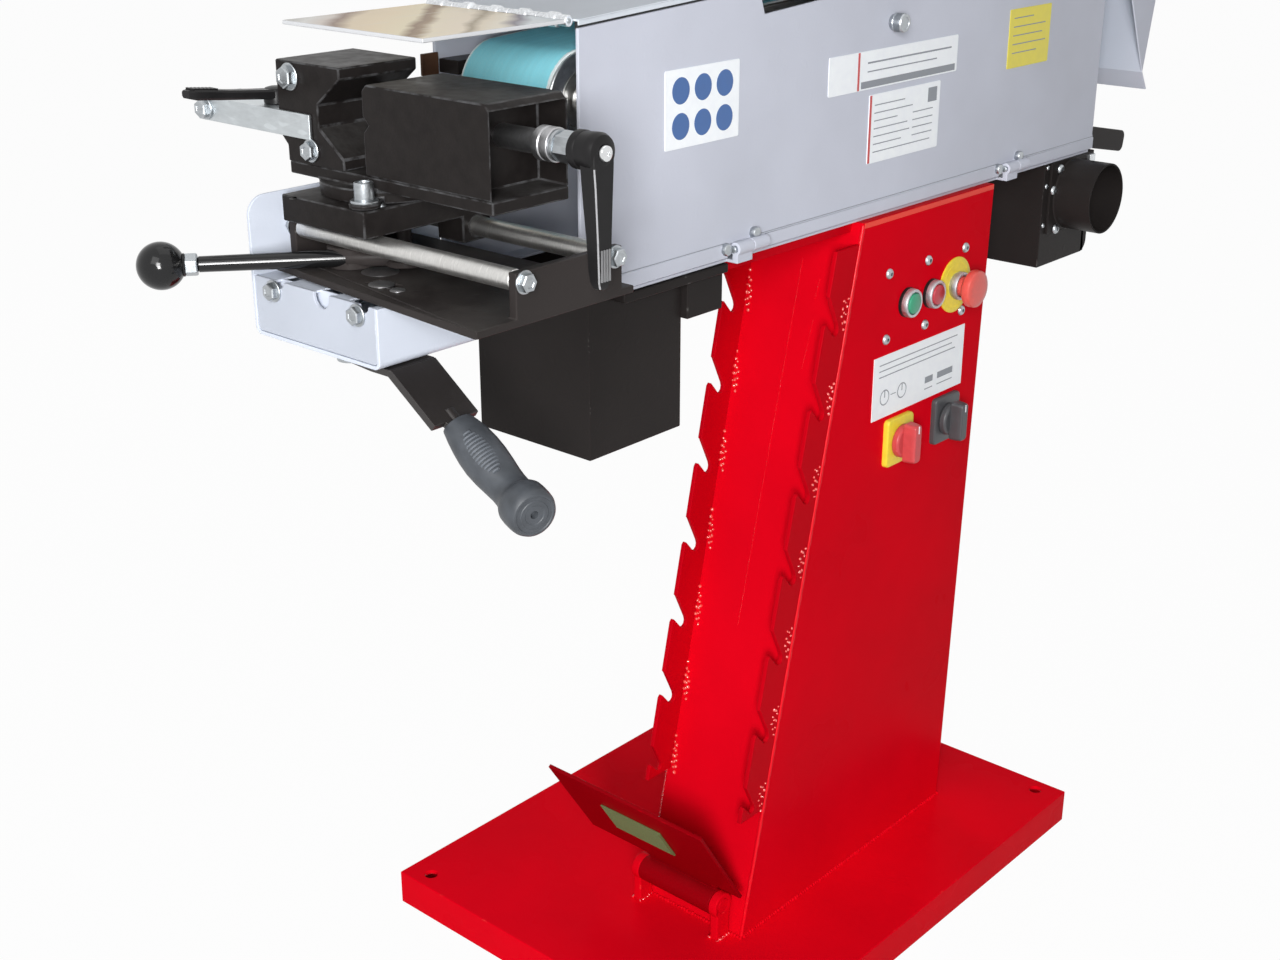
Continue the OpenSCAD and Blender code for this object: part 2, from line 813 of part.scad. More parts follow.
module pivot_pins() {
  color(zinc) {
    for (x = door_hinges) translate([x - 3, door_axis_y, door_axis_z]) rotate([0, 90, 0])
      cylinder(d = hinge_pin_d, h = 2 * hinge_len + gap + 6);
    on_lid() for (x = lid_hinges) translate([x - 3, lid_axis_y, lid_axis_z]) rotate([0, 90, 0])
      cylinder(d = hinge_pin_d, h = 2 * lid_hinge_len + gap + 6);
    bar_z(feed_x, feed_y, feed_pivot_d, feed_z - gap - 1, tray_z + sheet_t + 6);
    bar_z(feed_x, feed_y, 22, feed_z - gap - 6, feed_z - gap);
    translate([feed_x, feed_y, tray_z + sheet_t]) difference() {
      cylinder(d = 21, h = 8, $fn = 6);
      translate([0, 0, -1]) cylinder(d = feed_pivot_d, h = 20);
    }
  }
}

// Moving half of a door hinge
module door_hinge_moving(x) {
  x0 = x + hinge_len + gap;
  translate([x0, door_axis_y, door_axis_z]) rotate([0, 90, 0]) cylinder(r = hinge_r, h = hinge_len);
  box([x0, door_axis_y, door_axis_z - 3], [x0 + hinge_len, house_near + 1, door_axis_z + 3]);
}

module side_door() {
  inner = house_near + sheet_t;
  color(grey) difference() {
    union() {
      xz(house_near, inner) polygon([[house_front, door_low], [house_rear, door_low],
        [house_rear, top_z(house_rear)], [house_front, house_top]]);
      box([house_front, house_near - 1.5, door_low], [house_rear, house_near, door_low + 13]);
      for (x = door_hinges) door_hinge_moving(x);
    }
    for (x = door_hinges) {
      translate([x, door_axis_y, door_axis_z]) rotate([0, 90, 0])
        cylinder(d = hinge_pin_d + 2 * run_fit, h = 2 * hinge_len + 10);
      translate([x - gap, door_axis_y, door_axis_z]) rotate([0, 90, 0])
        cylinder(r = hinge_r + 1, h = hinge_len + 2 * gap - 0.1);
      box([x - 4, door_axis_y, head_z], [x + hinge_len + gap - 0.1, inner + 1, door_axis_z + 2]);
    }
    bar_y(door_screw_x, door_screw_z, 9, house_near - 1, inner + 1);
    xz(house_near - 1, inner + 1) polygon([[cut_x, top_z(cut_x) + 5], [cut_x + 10, top_z(cut_x) - cut_h],
      [cut_x + cut_l - 10, top_z(cut_x + cut_l) - cut_h], [cut_x + cut_l, top_z(cut_x + cut_l) + 5]]);
  }
}

module side_plates() {
  plates = [[102, 112, 98, 66], [332, 128, 220, 36], [400, 56, 124, 66], [652, 118, 85, 61]];
  color("#e4e6ec") for (p = plates)
    box([house_front + p[0], house_near - card_t, head_z + p[1]],
      [house_front + p[0] + p[2], house_near, head_z + p[1] + p[3]]);
}

module door_screw() {
  y = house_near - gap;
  color(zinc) {
    bar_y(door_screw_x, door_screw_z, door_screw_d, y - 15, y);
    bar_y(door_screw_x, door_screw_z, 8, y - 1, house_near + 7);
  }
}

// Knuckles along one end of the lid: every second one, starting with the given one
module knuckles(first) {
  for (i = [first:2:knuckle_count - 1]) {
    y = knuckle_near + i * knuckle_len;
    bar_y(0, 0, 2 * knuckle_r, y + gap / 2, y + knuckle_len - gap / 2);
    box([0, y + gap / 2, -lid_t / 2], [knuckle_out + 1, y + knuckle_len - gap / 2, lid_t / 2]);
  }
}

module top_lid() {
  y0 = house_near - 1;
  y1 = house_far - 2;
  color(grey) on_lid() difference() {
    union() {
      box([0, y0, lid_gap], [lid_l, y1, lid_gap + lid_t]);
      box([6, house_near + 6, -12], [lid_l - 6, house_near + 8, lid_gap + 1]);
      translate([-knuckle_out, 0, lid_axis_z]) knuckles(0);
      translate([lid_l + knuckle_out, 0, lid_axis_z]) rotate([0, 180, 0]) knuckles(0);
      for (x = lid_hinges) {
        translate([x + lid_hinge_len + gap, lid_axis_y, lid_axis_z]) rotate([0, 90, 0])
          cylinder(r = hinge_r, h = lid_hinge_len);
        box([x + lid_hinge_len + gap, y1 - 1, lid_gap], [x + 2 * lid_hinge_len + gap, lid_axis_y,
          lid_gap + lid_t]);
      }
    }
    for (x = [-knuckle_out, lid_l + knuckle_out])
      bar_y(x, lid_axis_z, lid_pin_d + 2 * run_fit, house_near - 9, house_far + 9);
    for (x = lid_hinges) translate([x, lid_axis_y, lid_axis_z]) rotate([0, 90, 0])
      cylinder(d = hinge_pin_d + 2 * run_fit, h = 2 * lid_hinge_len + 10);
  }
}

module lid_pins() {
  color(zinc) on_lid() for (x = [-knuckle_out, lid_l + knuckle_out])
    bar_y(x, lid_axis_z, lid_pin_d, knuckle_near, knuckle_near + knuckle_count * knuckle_len);
}

module front_flap() {
  color(steel) on_lid() translate([-knuckle_out, 0, lid_axis_z]) rotate([0, flap_rise, 0]) difference() {
    union() {
      rotate([0, 180, 0]) knuckles(1);
      box([-flap_l, knuckle_near, -flap_t / 2],
        [-knuckle_r - 0.6, knuckle_near + knuckle_count * knuckle_len, flap_t / 2]);
    }
    bar_y(0, 0, lid_pin_d + 2 * run_fit, house_near - 9, house_far + 9);
  }
}

// Spark guard that hangs behind the drive wheel
module rear_guard() {
  y0 = knuckle_near;
  y1 = knuckle_near + knuckle_count * knuckle_len;
  color(grey) translate([guard_axis[0], 0, guard_axis[1]]) difference() {
    union() {
      knuckles(1);
      xz(y0, y1) folded(guard_path, guard_t);
      for (y = [y0, y1 - guard_t]) xz(y, y + guard_t)
        polygon([guard_path[0] + [14, -4], guard_path[1], guard_path[2]]);
    }
    bar_y(0, 0, lid_pin_d + 2 * run_fit, house_near - 9, house_far + 9);
    for (i = [0:2:knuckle_count - 1]) bar_y(0, 0, 2 * knuckle_r + 1.2, knuckle_near + i * knuckle_len - 0.1,
      knuckle_near + (i + 1) * knuckle_len + 0.1);
  }
}

// Slide that carries the front roller and keeps the belt tight
module tension_arm() {
  color(steel) difference() {
    box([roller_x - 16, arm_near, roller_z - arm_h / 2],
      [roller_x - 16 + arm_l, arm_near + arm_w, roller_z + arm_h / 2]);
    bar_y(roller_x, roller_z, axle_d + 2 * run_fit, arm_near - 1, arm_near + arm_w + 1);
  }
}

module roller_axle() {
  color(steel) {
    bar_y(roller_x, roller_z, axle_d, roller_near - 6, arm_near + arm_w);
    bar_y(roller_x, roller_z, 30, roller_near - 8, roller_near - 2);
  }
}

module front_roller() {
  color("#d0d2d4") difference() {
    bar_y(roller_x, roller_z, roller_d, roller_near, roller_far);
    bar_y(roller_x, roller_z, axle_d + 8, roller_near - 1, roller_far + 1);
    for (y = [roller_near - 1, roller_far - bearing_w])
      bar_y(roller_x, roller_z, min(bearing_d, roller_d - 10) + 2 * run_fit, y, y + bearing_w + 1);
  }
}

module roller_bearings() {
  color(steel) for (y = [roller_near, roller_far - bearing_w]) difference() {
    bar_y(roller_x, roller_z, min(bearing_d, roller_d - 10), y, y + bearing_w);
    bar_y(roller_x, roller_z, axle_d + 2 * run_fit, y - 1, y + bearing_w + 1);
  }
}

module drive_wheel() {
  rim = wheel_d - 2 * tyre_t;
  color(steel) difference() {
    bar_y(wheel_x, wheel_z, rim, roller_near, roller_far);
    for (y = [roller_near - 1, belt_y + 12]) difference() {
      bar_y(wheel_x, wheel_z, rim - 24, y, y + roller_l / 2 - 11);
      bar_y(wheel_x, wheel_z, shaft_d + 30, roller_near - 2, roller_far + 2);
    }
    bar_y(wheel_x, wheel_z, shaft_d + 2 * run_fit, roller_near - 2, roller_far + 2);
  }
}

module wheel_tyre() {
  color("#2a2a2c") difference() {
    bar_y(wheel_x, wheel_z, wheel_d, roller_near, roller_far);
    bar_y(wheel_x, wheel_z, wheel_d - 2 * tyre_t + 2 * run_fit, roller_near - 1, roller_far + 1);
  }
}

module motor_shaft() {
  color(steel) {
    bar_y(wheel_x, wheel_z, shaft_d, roller_near + 6, house_far + motor_flange_t + motor_l + 20);
    bar_y(wheel_x, wheel_z, shaft_d + 12, roller_near - 6, roller_near - gap);
    bar_y(wheel_x, wheel_z, shaft_d / 2, roller_near - 1, roller_near + 7);
  }
}

module feed_table() {
  near = rods_near - plate_t;
  far = rods_far + plate_t;
  color(black) difference() {
    union() {
      translate([0, 0, table_z]) linear_extrude(table_t) polygon([[table_front - table_skew, near],
        [table_front + table_l, near], [table_front + table_l, far], [table_front + table_skew, far]]);
      for (y = [near, rods_far])
        box([rod_front_x - rod_d / 2, y, table_top - 1],
          [rod_rear_x + rod_d / 2, y + plate_t, table_top + plate_h]);
    }
    for (x = [rod_front_x, rod_rear_x])
      bar_y(x, rod_z, rod_bolt_d + 2 * run_fit, rods_near - plate_t - 1, rods_far + plate_t + 1);
    box([feed_x - 7, feed_y - feed_arm - 8, table_z - 1],
      [feed_x + 7, feed_y - feed_arm + 18, table_top + 1]);
  }
}

module guide_rods() {
  color("#c9c5bd") for (x = [rod_front_x, rod_rear_x]) difference() {
    bar_y(x, rod_z, rod_d, rods_near, rods_far);
    for (y = [rods_near - 1, rods_far - 12]) bar_y(x, rod_z, rod_bolt_d + 2 * run_fit, y, y + 13);
  }
}

module rod_bolts() {
  color(zinc) for (x = [rod_front_x, rod_rear_x]) {
    translate([x, rods_near - plate_t, rod_z]) rotate([90, 0, 0]) hex_bolt(rod_bolt_d, plate_t + 10);
    translate([x, rods_far + plate_t, rod_z]) rotate([-90, 0, 0]) hex_bolt(rod_bolt_d, plate_t + 10);
  }
}

module carriage() {
  color(black) {
    box([carriage_front, carriage_near, carriage_z],
      [carriage_front + carriage_l, carriage_far, carriage_top]);
    for (y = [carriage_near, carriage_far - 30]) difference() {
      box([rod_rear_x - 15, y, rod_z - rod_d / 2 - 4],
        [rod_rear_x + 7 + rod_d / 2, y + 30, carriage_z + 1]);
      bar_y(rod_rear_x, rod_z, rod_d + 2 * run_fit, y - 1, y + 31);
    }
    bar_z(swivel_x, swivel_y, swivel_stud_d, carriage_top - 1, carriage_top + swivel_h - 3);
    bar_z(clamp_x, clamp_y, clamp_stud_d, clamp_z - 6, carriage_z + 1);
    bar_z(swivel_x - 66, swivel_y + 34, 6, carriage_top - 1, carriage_top + 8);
  }
}

module vise_base() {
  color(black) difference() {
    union() {
      bar_z(swivel_x, swivel_y, swivel_d, carriage_top + gap, bed_z + 1);
      lock_lug_plate(lock_lug, 12);
      box([swivel_x - jaw_d / 2, bed_near, bed_z], [swivel_x + jaw_d / 2, bed_far, jaw_z]);
    }
    bar_z(swivel_x, swivel_y, swivel_stud_d + 2 * run_fit, carriage_top - 1, carriage_top + swivel_h - 2);
  }
}

// Low lug of the swivel disc that carries the lock screw
module lock_lug_plate(at, r) {
  translate([swivel_x, swivel_y, carriage_top + gap + 0.5]) linear_extrude(lock_lug_t) {
    translate(at) circle(r = r);
    rotate(atan2(at[1], at[0])) translate([swivel_d / 2 - 12, 1 - r])
      square([norm(at) - swivel_d / 2 + 12, 2 * r - 2]);
  }
}

// Jaw with a vee that holds the tube
module fixed_jaw() {
  color(black) difference() {
    yz(jaw_front, jaw_front + jaw_d) polygon([[bed_far, jaw_z], [bed_far, jaw_z + 12],
      [fixed_far, jaw_z + 20], [fixed_far, fixed_top], [fixed_tip, fixed_top],
      [fixed_tip, fixed_top - jaw_land], [vee_y, vise_z + vee_h], [vee_y, vise_z - vee_h],
      [fixed_tip, jaw_z + jaw_land], [fixed_tip, jaw_z]]);
    translate([jaw_front - 1, fixed_far - 17, fixed_top - 12]) rotate([0, 90, 0])
      cylinder(d = 10 + 2 * run_fit, h = 31);
    translate([jaw_front - 1, vee_y + 10, jaw_z + 11.5]) rotate([0, 90, 0])
      cylinder(d = 8 + 2 * run_fit, h = 31);
  }
}

module vise_bolts() {
  z = carriage_top + gap + 0.5 + lock_lug_t;
  color(zinc) {
    translate([jaw_front, fixed_far - 17, fixed_top - 12]) rotate([0, -90, 0]) hex_bolt(10, 28);
    translate([jaw_front, vee_y + 10, jaw_z + 11.5]) rotate([0, -90, 0]) hex_bolt(8, 28);
    translate([bracket_front, bracket_far - 11, bracket_z + bracket_h / 2]) rotate([0, -90, 0])
      hex_bolt(8, 2);
    bar_z(swivel_x + lock_lug[0], swivel_y + lock_lug[1], 21, z, z + 2);
    bar_z(swivel_x + lock_lug[0], swivel_y + lock_lug[1], 15, z + 2, z + 17);
  }
}

// Angle strip that a tube's end is set against
module stop_bracket() {
  color(zinc) difference() {
    union() {
      box([bracket_front, bracket_near, bracket_z],
        [bracket_front + bracket_t, bracket_far, bracket_z + bracket_h]);
      box([bracket_front, fixed_far + gap, bracket_z + bracket_h - bracket_t],
        [jaw_front + 40, bracket_far, bracket_z + bracket_h]);
    }
    translate([bracket_front - 1, bracket_far - 11, bracket_z + bracket_h / 2]) rotate([0, 90, 0])
      cylinder(d = 8 + 2 * run_fit, h = bracket_t + 2);
    bar_z(stop_x, stop_y, stop_stud_d + 2 * run_fit, bracket_z, bracket_z + bracket_h + 1);
  }
}

module stop_lever() {
  z = bracket_z + bracket_h + gap;
  color(black) {
    bar_z(stop_x, stop_y, 20, z, z + 13);
    bar_z(stop_x, stop_y, stop_stud_d, z - 12, z + 1);
    translate([stop_x, stop_y, z + 7]) rotate([0, stop_tilt, 0]) {
      box([-stop_lever_l, -7, -4], [0, 7, 4]);
      bar_z(-stop_lever_l, 0, 14, -4, 4);
    }
  }
}

module moving_jaw() {
  r = 5;
  z = jaw_z + gap;
  color(black) difference() {
    union() {
      yz(jaw_front, jaw_front + jaw_d) polygon([[moving_near, z], [moving_far, z], [moving_far, vise_z - 6],
        [moving_far - 6, vise_z], [moving_far, vise_z + 6], [moving_far, moving_top - r],
        [moving_far - r, moving_top], [moving_near + r, moving_top], [moving_near, moving_top - r]]);
    }
    bar_y(swivel_x, vise_z, spindle_d + 2 * run_fit, moving_near - 1, moving_near + 60);
  }
}

module spindle() {
  color("#77797c") {
    bar_y(swivel_x, vise_z, spindle_d, crank_near + 8, moving_near + 58);
    bar_y(swivel_x, vise_z, 26, spindle_near + 10, moving_near - gap);
    translate([swivel_x, spindle_near + 10, vise_z]) rotate([90, 0, 0])
      cylinder(d = 24, h = 10, $fn = 6);
  }
}

module crank_arm() {
  y1 = crank_near + crank_arm_t;
  color(black) {
    difference() {
      union() {
        bar_y(swivel_x, vise_z, crank_hub_d, crank_near, spindle_near);
        box([swivel_x - crank_arm_w / 2, crank_near, vise_z - crank_l + crank_arm_w / 2],
          [swivel_x + crank_arm_w / 2, y1, vise_z]);
        bar_y(swivel_x, vise_z - crank_l + crank_arm_w / 2, crank_arm_w, crank_near, y1);
        for (z = [12:6:30]) box([swivel_x - crank_arm_w / 2 + 2, crank_near - 1.5, vise_z - crank_l + z],
          [swivel_x + crank_arm_w / 2 - 2, crank_near + 1, vise_z - crank_l + z + 3]);
      }
      bar_y(swivel_x, vise_z, spindle_d + 2 * run_fit, crank_near + 7.9, spindle_near + 1);
    }
    bar_y(swivel_x, vise_z, 12, crank_near - 4, crank_near + 1);
  }
}

// Frame of the ball lever, whose X axis runs from the hub to the ball
module on_clamp() {
  translate([clamp_x, clamp_y, clamp_z]) rotate([0, 0, clamp_turn]) children();
}

module clamp_lever() {
  color(black) {
    difference() {
      bar_z(clamp_x, clamp_y, clamp_hub_d, clamp_z - 7, clamp_z + 7);
      bar_z(clamp_x, clamp_y, clamp_stud_d + 2 * run_fit, clamp_z - 8, clamp_z + 8);
    }
    on_clamp() rotate([0, 90, 0]) {
      translate([0, 0, clamp_stud_d / 2 + 2]) cylinder(d = ball_rod_d,
        h = ball_lever_l - ball_d / 2 + 8 - clamp_stud_d / 2 - 2);
      translate([0, 0, ball_lever_l - ball_d / 2 - 11]) cylinder(d = 19, h = 9, $fn = 6);
    }
  }
}

module ball_knob() {
  color("#161617") on_clamp() difference() {
    translate([ball_lever_l, 0, 0]) sphere(d = ball_d);
    rotate([0, 90, 0]) translate([0, 0, ball_lever_l - ball_d])
      cylinder(d = ball_rod_d + 2 * run_fit, h = ball_d / 2 + 8.2);
    rotate([0, 90, 0]) translate([0, 0, ball_lever_l - ball_d]) cylinder(d = ball_d, h = ball_d / 2 + 1.2);
  }
}

// Frame of the feed lever's sloping end, whose X axis runs down to the grip
module on_grip() {
  translate([feed_x, feed_bend_y, feed_z + feed_t / 2]) rotate([0, 0, -90]) rotate([0, feed_drop, 0])
    children();
}

module feed_lever() {
  color(black) difference() {
    union() {
      translate([feed_x, 0, feed_z]) linear_extrude(feed_t) polygon([[-feed_bar_w / 2, feed_bend_y],
        [feed_bar_w / 2, feed_bend_y], [feed_bar_w / 2, feed_bend_y + 22], [16, feed_y], [-16, feed_y],
        [-feed_bar_w / 2, feed_bend_y + 22]]);
      bar_z(feed_x, feed_y, 32, feed_z, feed_z + feed_t);
      on_grip() translate([-1, -feed_bar_w / 2, -feed_t / 2]) cube([grip_start - 1, feed_bar_w, feed_t]);
      on_grip() translate([0, -11, -feed_t / 2]) cube([grip_start, 22, feed_t]);
      on_grip() rotate([0, 90, 0]) translate([0, 0, grip_start - 12])
        cylinder(d = tang_d, h = grip_l - 8);
      bar_z(feed_x, feed_y - feed_arm, feed_pin_d, feed_z + 1, table_top - 1);
    }
    bar_z(feed_x, feed_y, feed_pivot_d + 2 * run_fit, feed_z - 1, feed_z + feed_t + 1);
  }
}

module feed_grip() {
  color("#5a5f62") on_grip() rotate([0, 90, 0]) translate([0, 0, grip_start + gap]) difference() {
    rotate_extrude() polygon([[0, 0], [14, 0], [17, 8], [18.5, 24], [17.5, 46], [15, 68], [15, 74],
      [19, 81], [21, 88], [20.5, grip_l - 4], [16, grip_l], [0, grip_l]]);
    translate([0, 0, -1]) cylinder(d = tang_d + 2 * run_fit, h = grip_l - 19 + 1);
  }
}

module tension_lever() {
  color(black) translate([tension_x, 0, tension_z]) rotate([0, tension_drop, 0]) difference() {
    xz(tension_y - tension_t - gap, tension_y - gap - 0.5) union() {
      circle(d = tension_h);
      translate([0, -tension_h / 2]) square([tension_l - 8, tension_h]);
      translate([0, -tension_h / 2 + 8]) square([tension_l, tension_h - 16]);
      for (s = [-1, 1]) translate([tension_l - 8, s * (tension_h / 2 - 8)]) circle(r = 8);
    }
    bar_y(0, 0, tension_pin_d + 2 * run_fit, tension_y - 2 * tension_t, tension_y + 1);
  }
}

// Push button cap inside its bezel
module button_cap(x, y) {
  bar_y(x, button_z, cap_d, y - bezel_h - 1.5, y - 1);
}

module start_button() {
  color("#1f9a6a") button_cap(button_x[0], column_near);
}

module stop_button() {
  color("#b02030") button_cap(button_x[1], column_near);
}

module estop_button() {
  y = column_near - ring_t - bezel_h - 5;
  color("#e04038") {
    bar_y(button_x[2], button_z, cap_d, y - 1, column_near - ring_t - 1);
    translate([button_x[2], y, button_z]) rotate([90, 0, 0]) {
      cylinder(d1 = cap_d + 6, d2 = estop_d, h = 5);
      translate([0, 0, 5]) cylinder(d = estop_d, h = 7);
      translate([0, 0, 12]) cylinder(d1 = estop_d, d2 = estop_d - 10, h = 3);
    }
  }
}

// Rotary knob with a bar grip, turned by a from upright
module knob(x, a) {
  y = column_near - switch_t - gap;
  bar_y(x, switch_z, knob_stem_d, y - 1, column_near - 1);
  bar_y(x, switch_z, knob_d, y - 8, y);
  rotate_at(x, switch_z, a) box([-8, y - 22, -22], [8, y - 7, 22]);
}

module main_switch() {
  color("#d63a34") knob(main_x, 0);
}

module mode_switch() {
  color("#33363a") knob(mode_x, 0);
}

base_pan();
column();
rack_left();
rack_right();
pedal_brackets();
pedal_shaft();
main_beam();
housing_body();
front_tray();
spark_box();
extraction_box();
extraction_spigot();
platen();
motor_body();
motor_fan_cover();
terminal_box();
abrasive_belt();
frame_bolts();
instruction_plate();
button_bezels();
switch_plates();
pivot_pins();
foot_pedal();
pedal_pad();
side_door();
side_plates();
door_screw();
top_lid();
lid_pins();
front_flap();
rear_guard();
tension_arm();
roller_axle();
front_roller();
roller_bearings();
drive_wheel();
wheel_tyre();
motor_shaft();
feed_table();
guide_rods();
rod_bolts();
carriage();
vise_base();
fixed_jaw();
vise_bolts();
stop_bracket();
stop_lever();
moving_jaw();
spindle();
crank_arm();
clamp_lever();
ball_knob();
feed_lever();
feed_grip();
tension_lever();
start_button();
stop_button();
estop_button();
main_switch();
mode_switch();
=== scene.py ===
"""Tube-end belt grinder on a notched stand: its visible pieces, their finishes, the stage and the camera."""

import json
import math

import bmesh
import bpy
from bpy.props import FloatProperty, FloatVectorProperty, IntProperty, PointerProperty
from mathutils import Matrix, Vector

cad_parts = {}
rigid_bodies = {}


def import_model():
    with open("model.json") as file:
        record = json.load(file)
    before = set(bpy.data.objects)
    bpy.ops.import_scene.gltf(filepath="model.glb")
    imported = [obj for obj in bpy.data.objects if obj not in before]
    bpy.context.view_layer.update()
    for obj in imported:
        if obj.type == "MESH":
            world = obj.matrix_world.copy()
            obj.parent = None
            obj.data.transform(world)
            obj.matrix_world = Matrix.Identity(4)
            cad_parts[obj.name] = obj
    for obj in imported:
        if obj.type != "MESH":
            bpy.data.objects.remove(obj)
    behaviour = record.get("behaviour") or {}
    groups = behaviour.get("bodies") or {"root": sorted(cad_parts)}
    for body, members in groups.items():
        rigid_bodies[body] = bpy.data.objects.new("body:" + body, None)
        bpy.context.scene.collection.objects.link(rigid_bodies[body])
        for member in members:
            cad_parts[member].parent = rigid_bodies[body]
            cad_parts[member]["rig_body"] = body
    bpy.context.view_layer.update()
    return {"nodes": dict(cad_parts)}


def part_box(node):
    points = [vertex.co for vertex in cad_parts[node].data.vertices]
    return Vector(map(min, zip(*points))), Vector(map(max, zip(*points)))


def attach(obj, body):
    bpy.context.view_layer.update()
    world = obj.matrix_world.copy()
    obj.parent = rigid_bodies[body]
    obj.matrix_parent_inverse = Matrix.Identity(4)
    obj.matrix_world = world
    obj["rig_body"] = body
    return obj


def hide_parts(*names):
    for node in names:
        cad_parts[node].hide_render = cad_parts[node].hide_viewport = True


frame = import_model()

bl_info = {
    "name": "Belt grinder",
    "version": (1, 0, 0),
    "blender": (4, 5, 0),
    "location": "View3D > Sidebar > Grinder",
    "description": "Builds the visible pieces of a tube-end belt grinder around its packed frame",
    "category": "Object",
}

MM = 0.001
SHARP = math.radians(32)
FINISH = {}

# Places that several pieces share, in millimetres
COLUMN_NEAR, COLUMN_FAR = -125, 7
DOOR_FACE = -120.0
TABLE_TOP = 830
MOTOR_X, MOTOR_Z = 420, 930
SPINDLE_X, SPINDLE_Z = -508.0, 945.0
SWITCH_Z = 540
HOOKS, HOOK_TOP, HOOK_PITCH = 7, 721, 83


# Sizes and colours that a user would change


def length(name, text, value):
    """A size in metres that a user can change."""
    return FloatProperty(name=name, description=text, default=value, min=0.0, unit="LENGTH", precision=5)


def colour(name, text, value):
    """A linear colour that a user can change."""
    return FloatVectorProperty(name=name, description=text, default=value, size=3, min=0.0, max=1.0,
                               subtype="COLOR")


def tilt(name, text, degrees):
    """An angle that a user can change."""
    return FloatProperty(name=name, description=text, default=math.radians(degrees), unit="ROTATION")


def power(name, text, value):
    """The power of a softbox, in watts."""
    return FloatProperty(name=name, description=text, default=value, unit="POWER")


class GrinderSizes(bpy.types.PropertyGroup):
    """Sizes of the details that the frame leaves open."""

    sheet_edge: length("Sheet edge", "Rounding of cut and folded sheet edges", 0.0007)
    plate_edge: length("Plate edge", "Rounding of thick plate edges", 0.0013)
    casting_edge: length("Casting edge", "Rounding of cast and milled blocks", 0.0014)
    weld_pitch: length("Weld pitch", "Distance between two ripples of a weld bead", 0.0042)
    weld_width: length("Weld width", "Half width of a weld ripple", 0.0024)
    pad_ribs: IntProperty(name="Pad ribs", description="Ribs across the pedal pad", default=11, min=3)
    grip_ribs: IntProperty(name="Grip ribs", description="Ribs in the grip's thumb patch", default=13, min=3)


class GrinderColours(bpy.types.PropertyGroup):
    """Colours of the paints and plastics."""

    red: colour("Red paint", "Stand", (0.70, 0.0012, 0.010))
    grey: colour("Grey paint", "Housing, door and lid", (0.565, 0.585, 0.665))
    pale: colour("Pale paint", "Front tray", (0.66, 0.705, 0.80))
    black: colour("Black paint", "Beam, boxes, table and vise", (0.0205, 0.0175, 0.0168))
    motor: colour("Motor paint", "Motor and its boxes", (0.055, 0.066, 0.078))
    belt: colour("Abrasive", "Grain side of the belt", (0.26, 0.72, 0.83))
    pad: colour("Pedal pad", "Ribbed rubber on the pedal", (0.105, 0.135, 0.048))
    grip: colour("Grip rubber", "Handle of the feed lever", (0.060, 0.066, 0.075))
    yellow: colour("Yellow plastic", "Emergency disc and main switch plate", (0.82, 0.66, 0.045))
    signal: colour("Signal red", "Emergency head and main switch", (0.70, 0.092, 0.072))


class GrinderStage(bpy.types.PropertyGroup):
    """Camera and studio light."""

    eye: FloatVectorProperty(name="Eye", description="Place of the camera", subtype="TRANSLATION",
                             unit="LENGTH", default=(-1.3844, -1.0616, 1.1804))
    heading: tilt("Heading", "Turn of the view from +X to +Y", 41.56)
    pitch: tilt("Pitch", "Downward tilt of the view", 21.83)
    lens: FloatProperty(name="Lens", description="Focal length in mm on a 36 mm sensor", default=48.77,
                        min=1.0)
    key: power("Key", "Power of the left softbox", 10.0)
    flash: power("Flash", "Power of the softbox behind the camera", 59.0)
    low: power("Low", "Power of the low softbox that lights under the flap", 40.0)
    top: power("Top", "Power of the overhead softbox", 6.0)
    rear: power("Rear", "Power of the softbox behind the machine", 22.0)
    sky: FloatProperty(name="Sky", description="Strength of the even light all round", default=0.11)


# Shader nodes


def add(tree, kind, inputs=None, **settings):
    """A node with its settings and its inputs, which are values or other nodes' outputs."""
    node = tree.nodes.new(kind)
    for key, value in settings.items():
        setattr(node, key, value)
    for key, value in (inputs or {}).items():
        if isinstance(value, bpy.types.NodeSocket):
            tree.links.new(value, node.inputs[key])
        else:
            node.inputs[key].default_value = value
    return node


def spot(tree, scale=(1.0, 1.0, 1.0), turn=(0.0, 0.0, 0.0)):
    """Object coordinates, stretched and turned."""
    where = add(tree, "ShaderNodeTexCoord").outputs["Object"]
    return add(tree, "ShaderNodeMapping", {"Vector": where, "Scale": scale, "Rotation": turn}).outputs[0]


def cloud(tree, vector, scale, detail=2.0, rough=0.5):
    """Noise from 0 to 1."""
    return add(tree, "ShaderNodeTexNoise", {"Vector": vector, "Scale": scale, "Detail": detail,
                                            "Roughness": rough}).outputs["Fac"]


def span(tree, value, low, high, new_low=0.0, new_high=1.0):
    """A value carried from one range to another and held there."""
    return add(tree, "ShaderNodeMapRange", {"Value": value, "From Min": low, "From Max": high,
                                            "To Min": new_low, "To Max": new_high}).outputs[0]


def reckon(tree, what, a, b=0.0):
    """One sum, product or comparison."""
    return add(tree, "ShaderNodeMath", {0: a, 1: b}, operation=what).outputs[0]


def shade(c, k):
    """A colour made darker or lighter."""
    return tuple(min(1.0, v * k) for v in c)


def mixed(tree, share, a, b):
    """Two colours mixed by a share."""
    a, b = (c if isinstance(c, bpy.types.NodeSocket) else (*c, 1.0) for c in (a, b))
    return add(tree, "ShaderNodeMix", {0: share, 6: a, 7: b}, data_type="RGBA").outputs[2]


def two_tone(tree, share, base, spread):
    """A colour that goes from a little darker to a little lighter."""
    return mixed(tree, share, shade(base, 1 - spread), shade(base, 1 + spread))


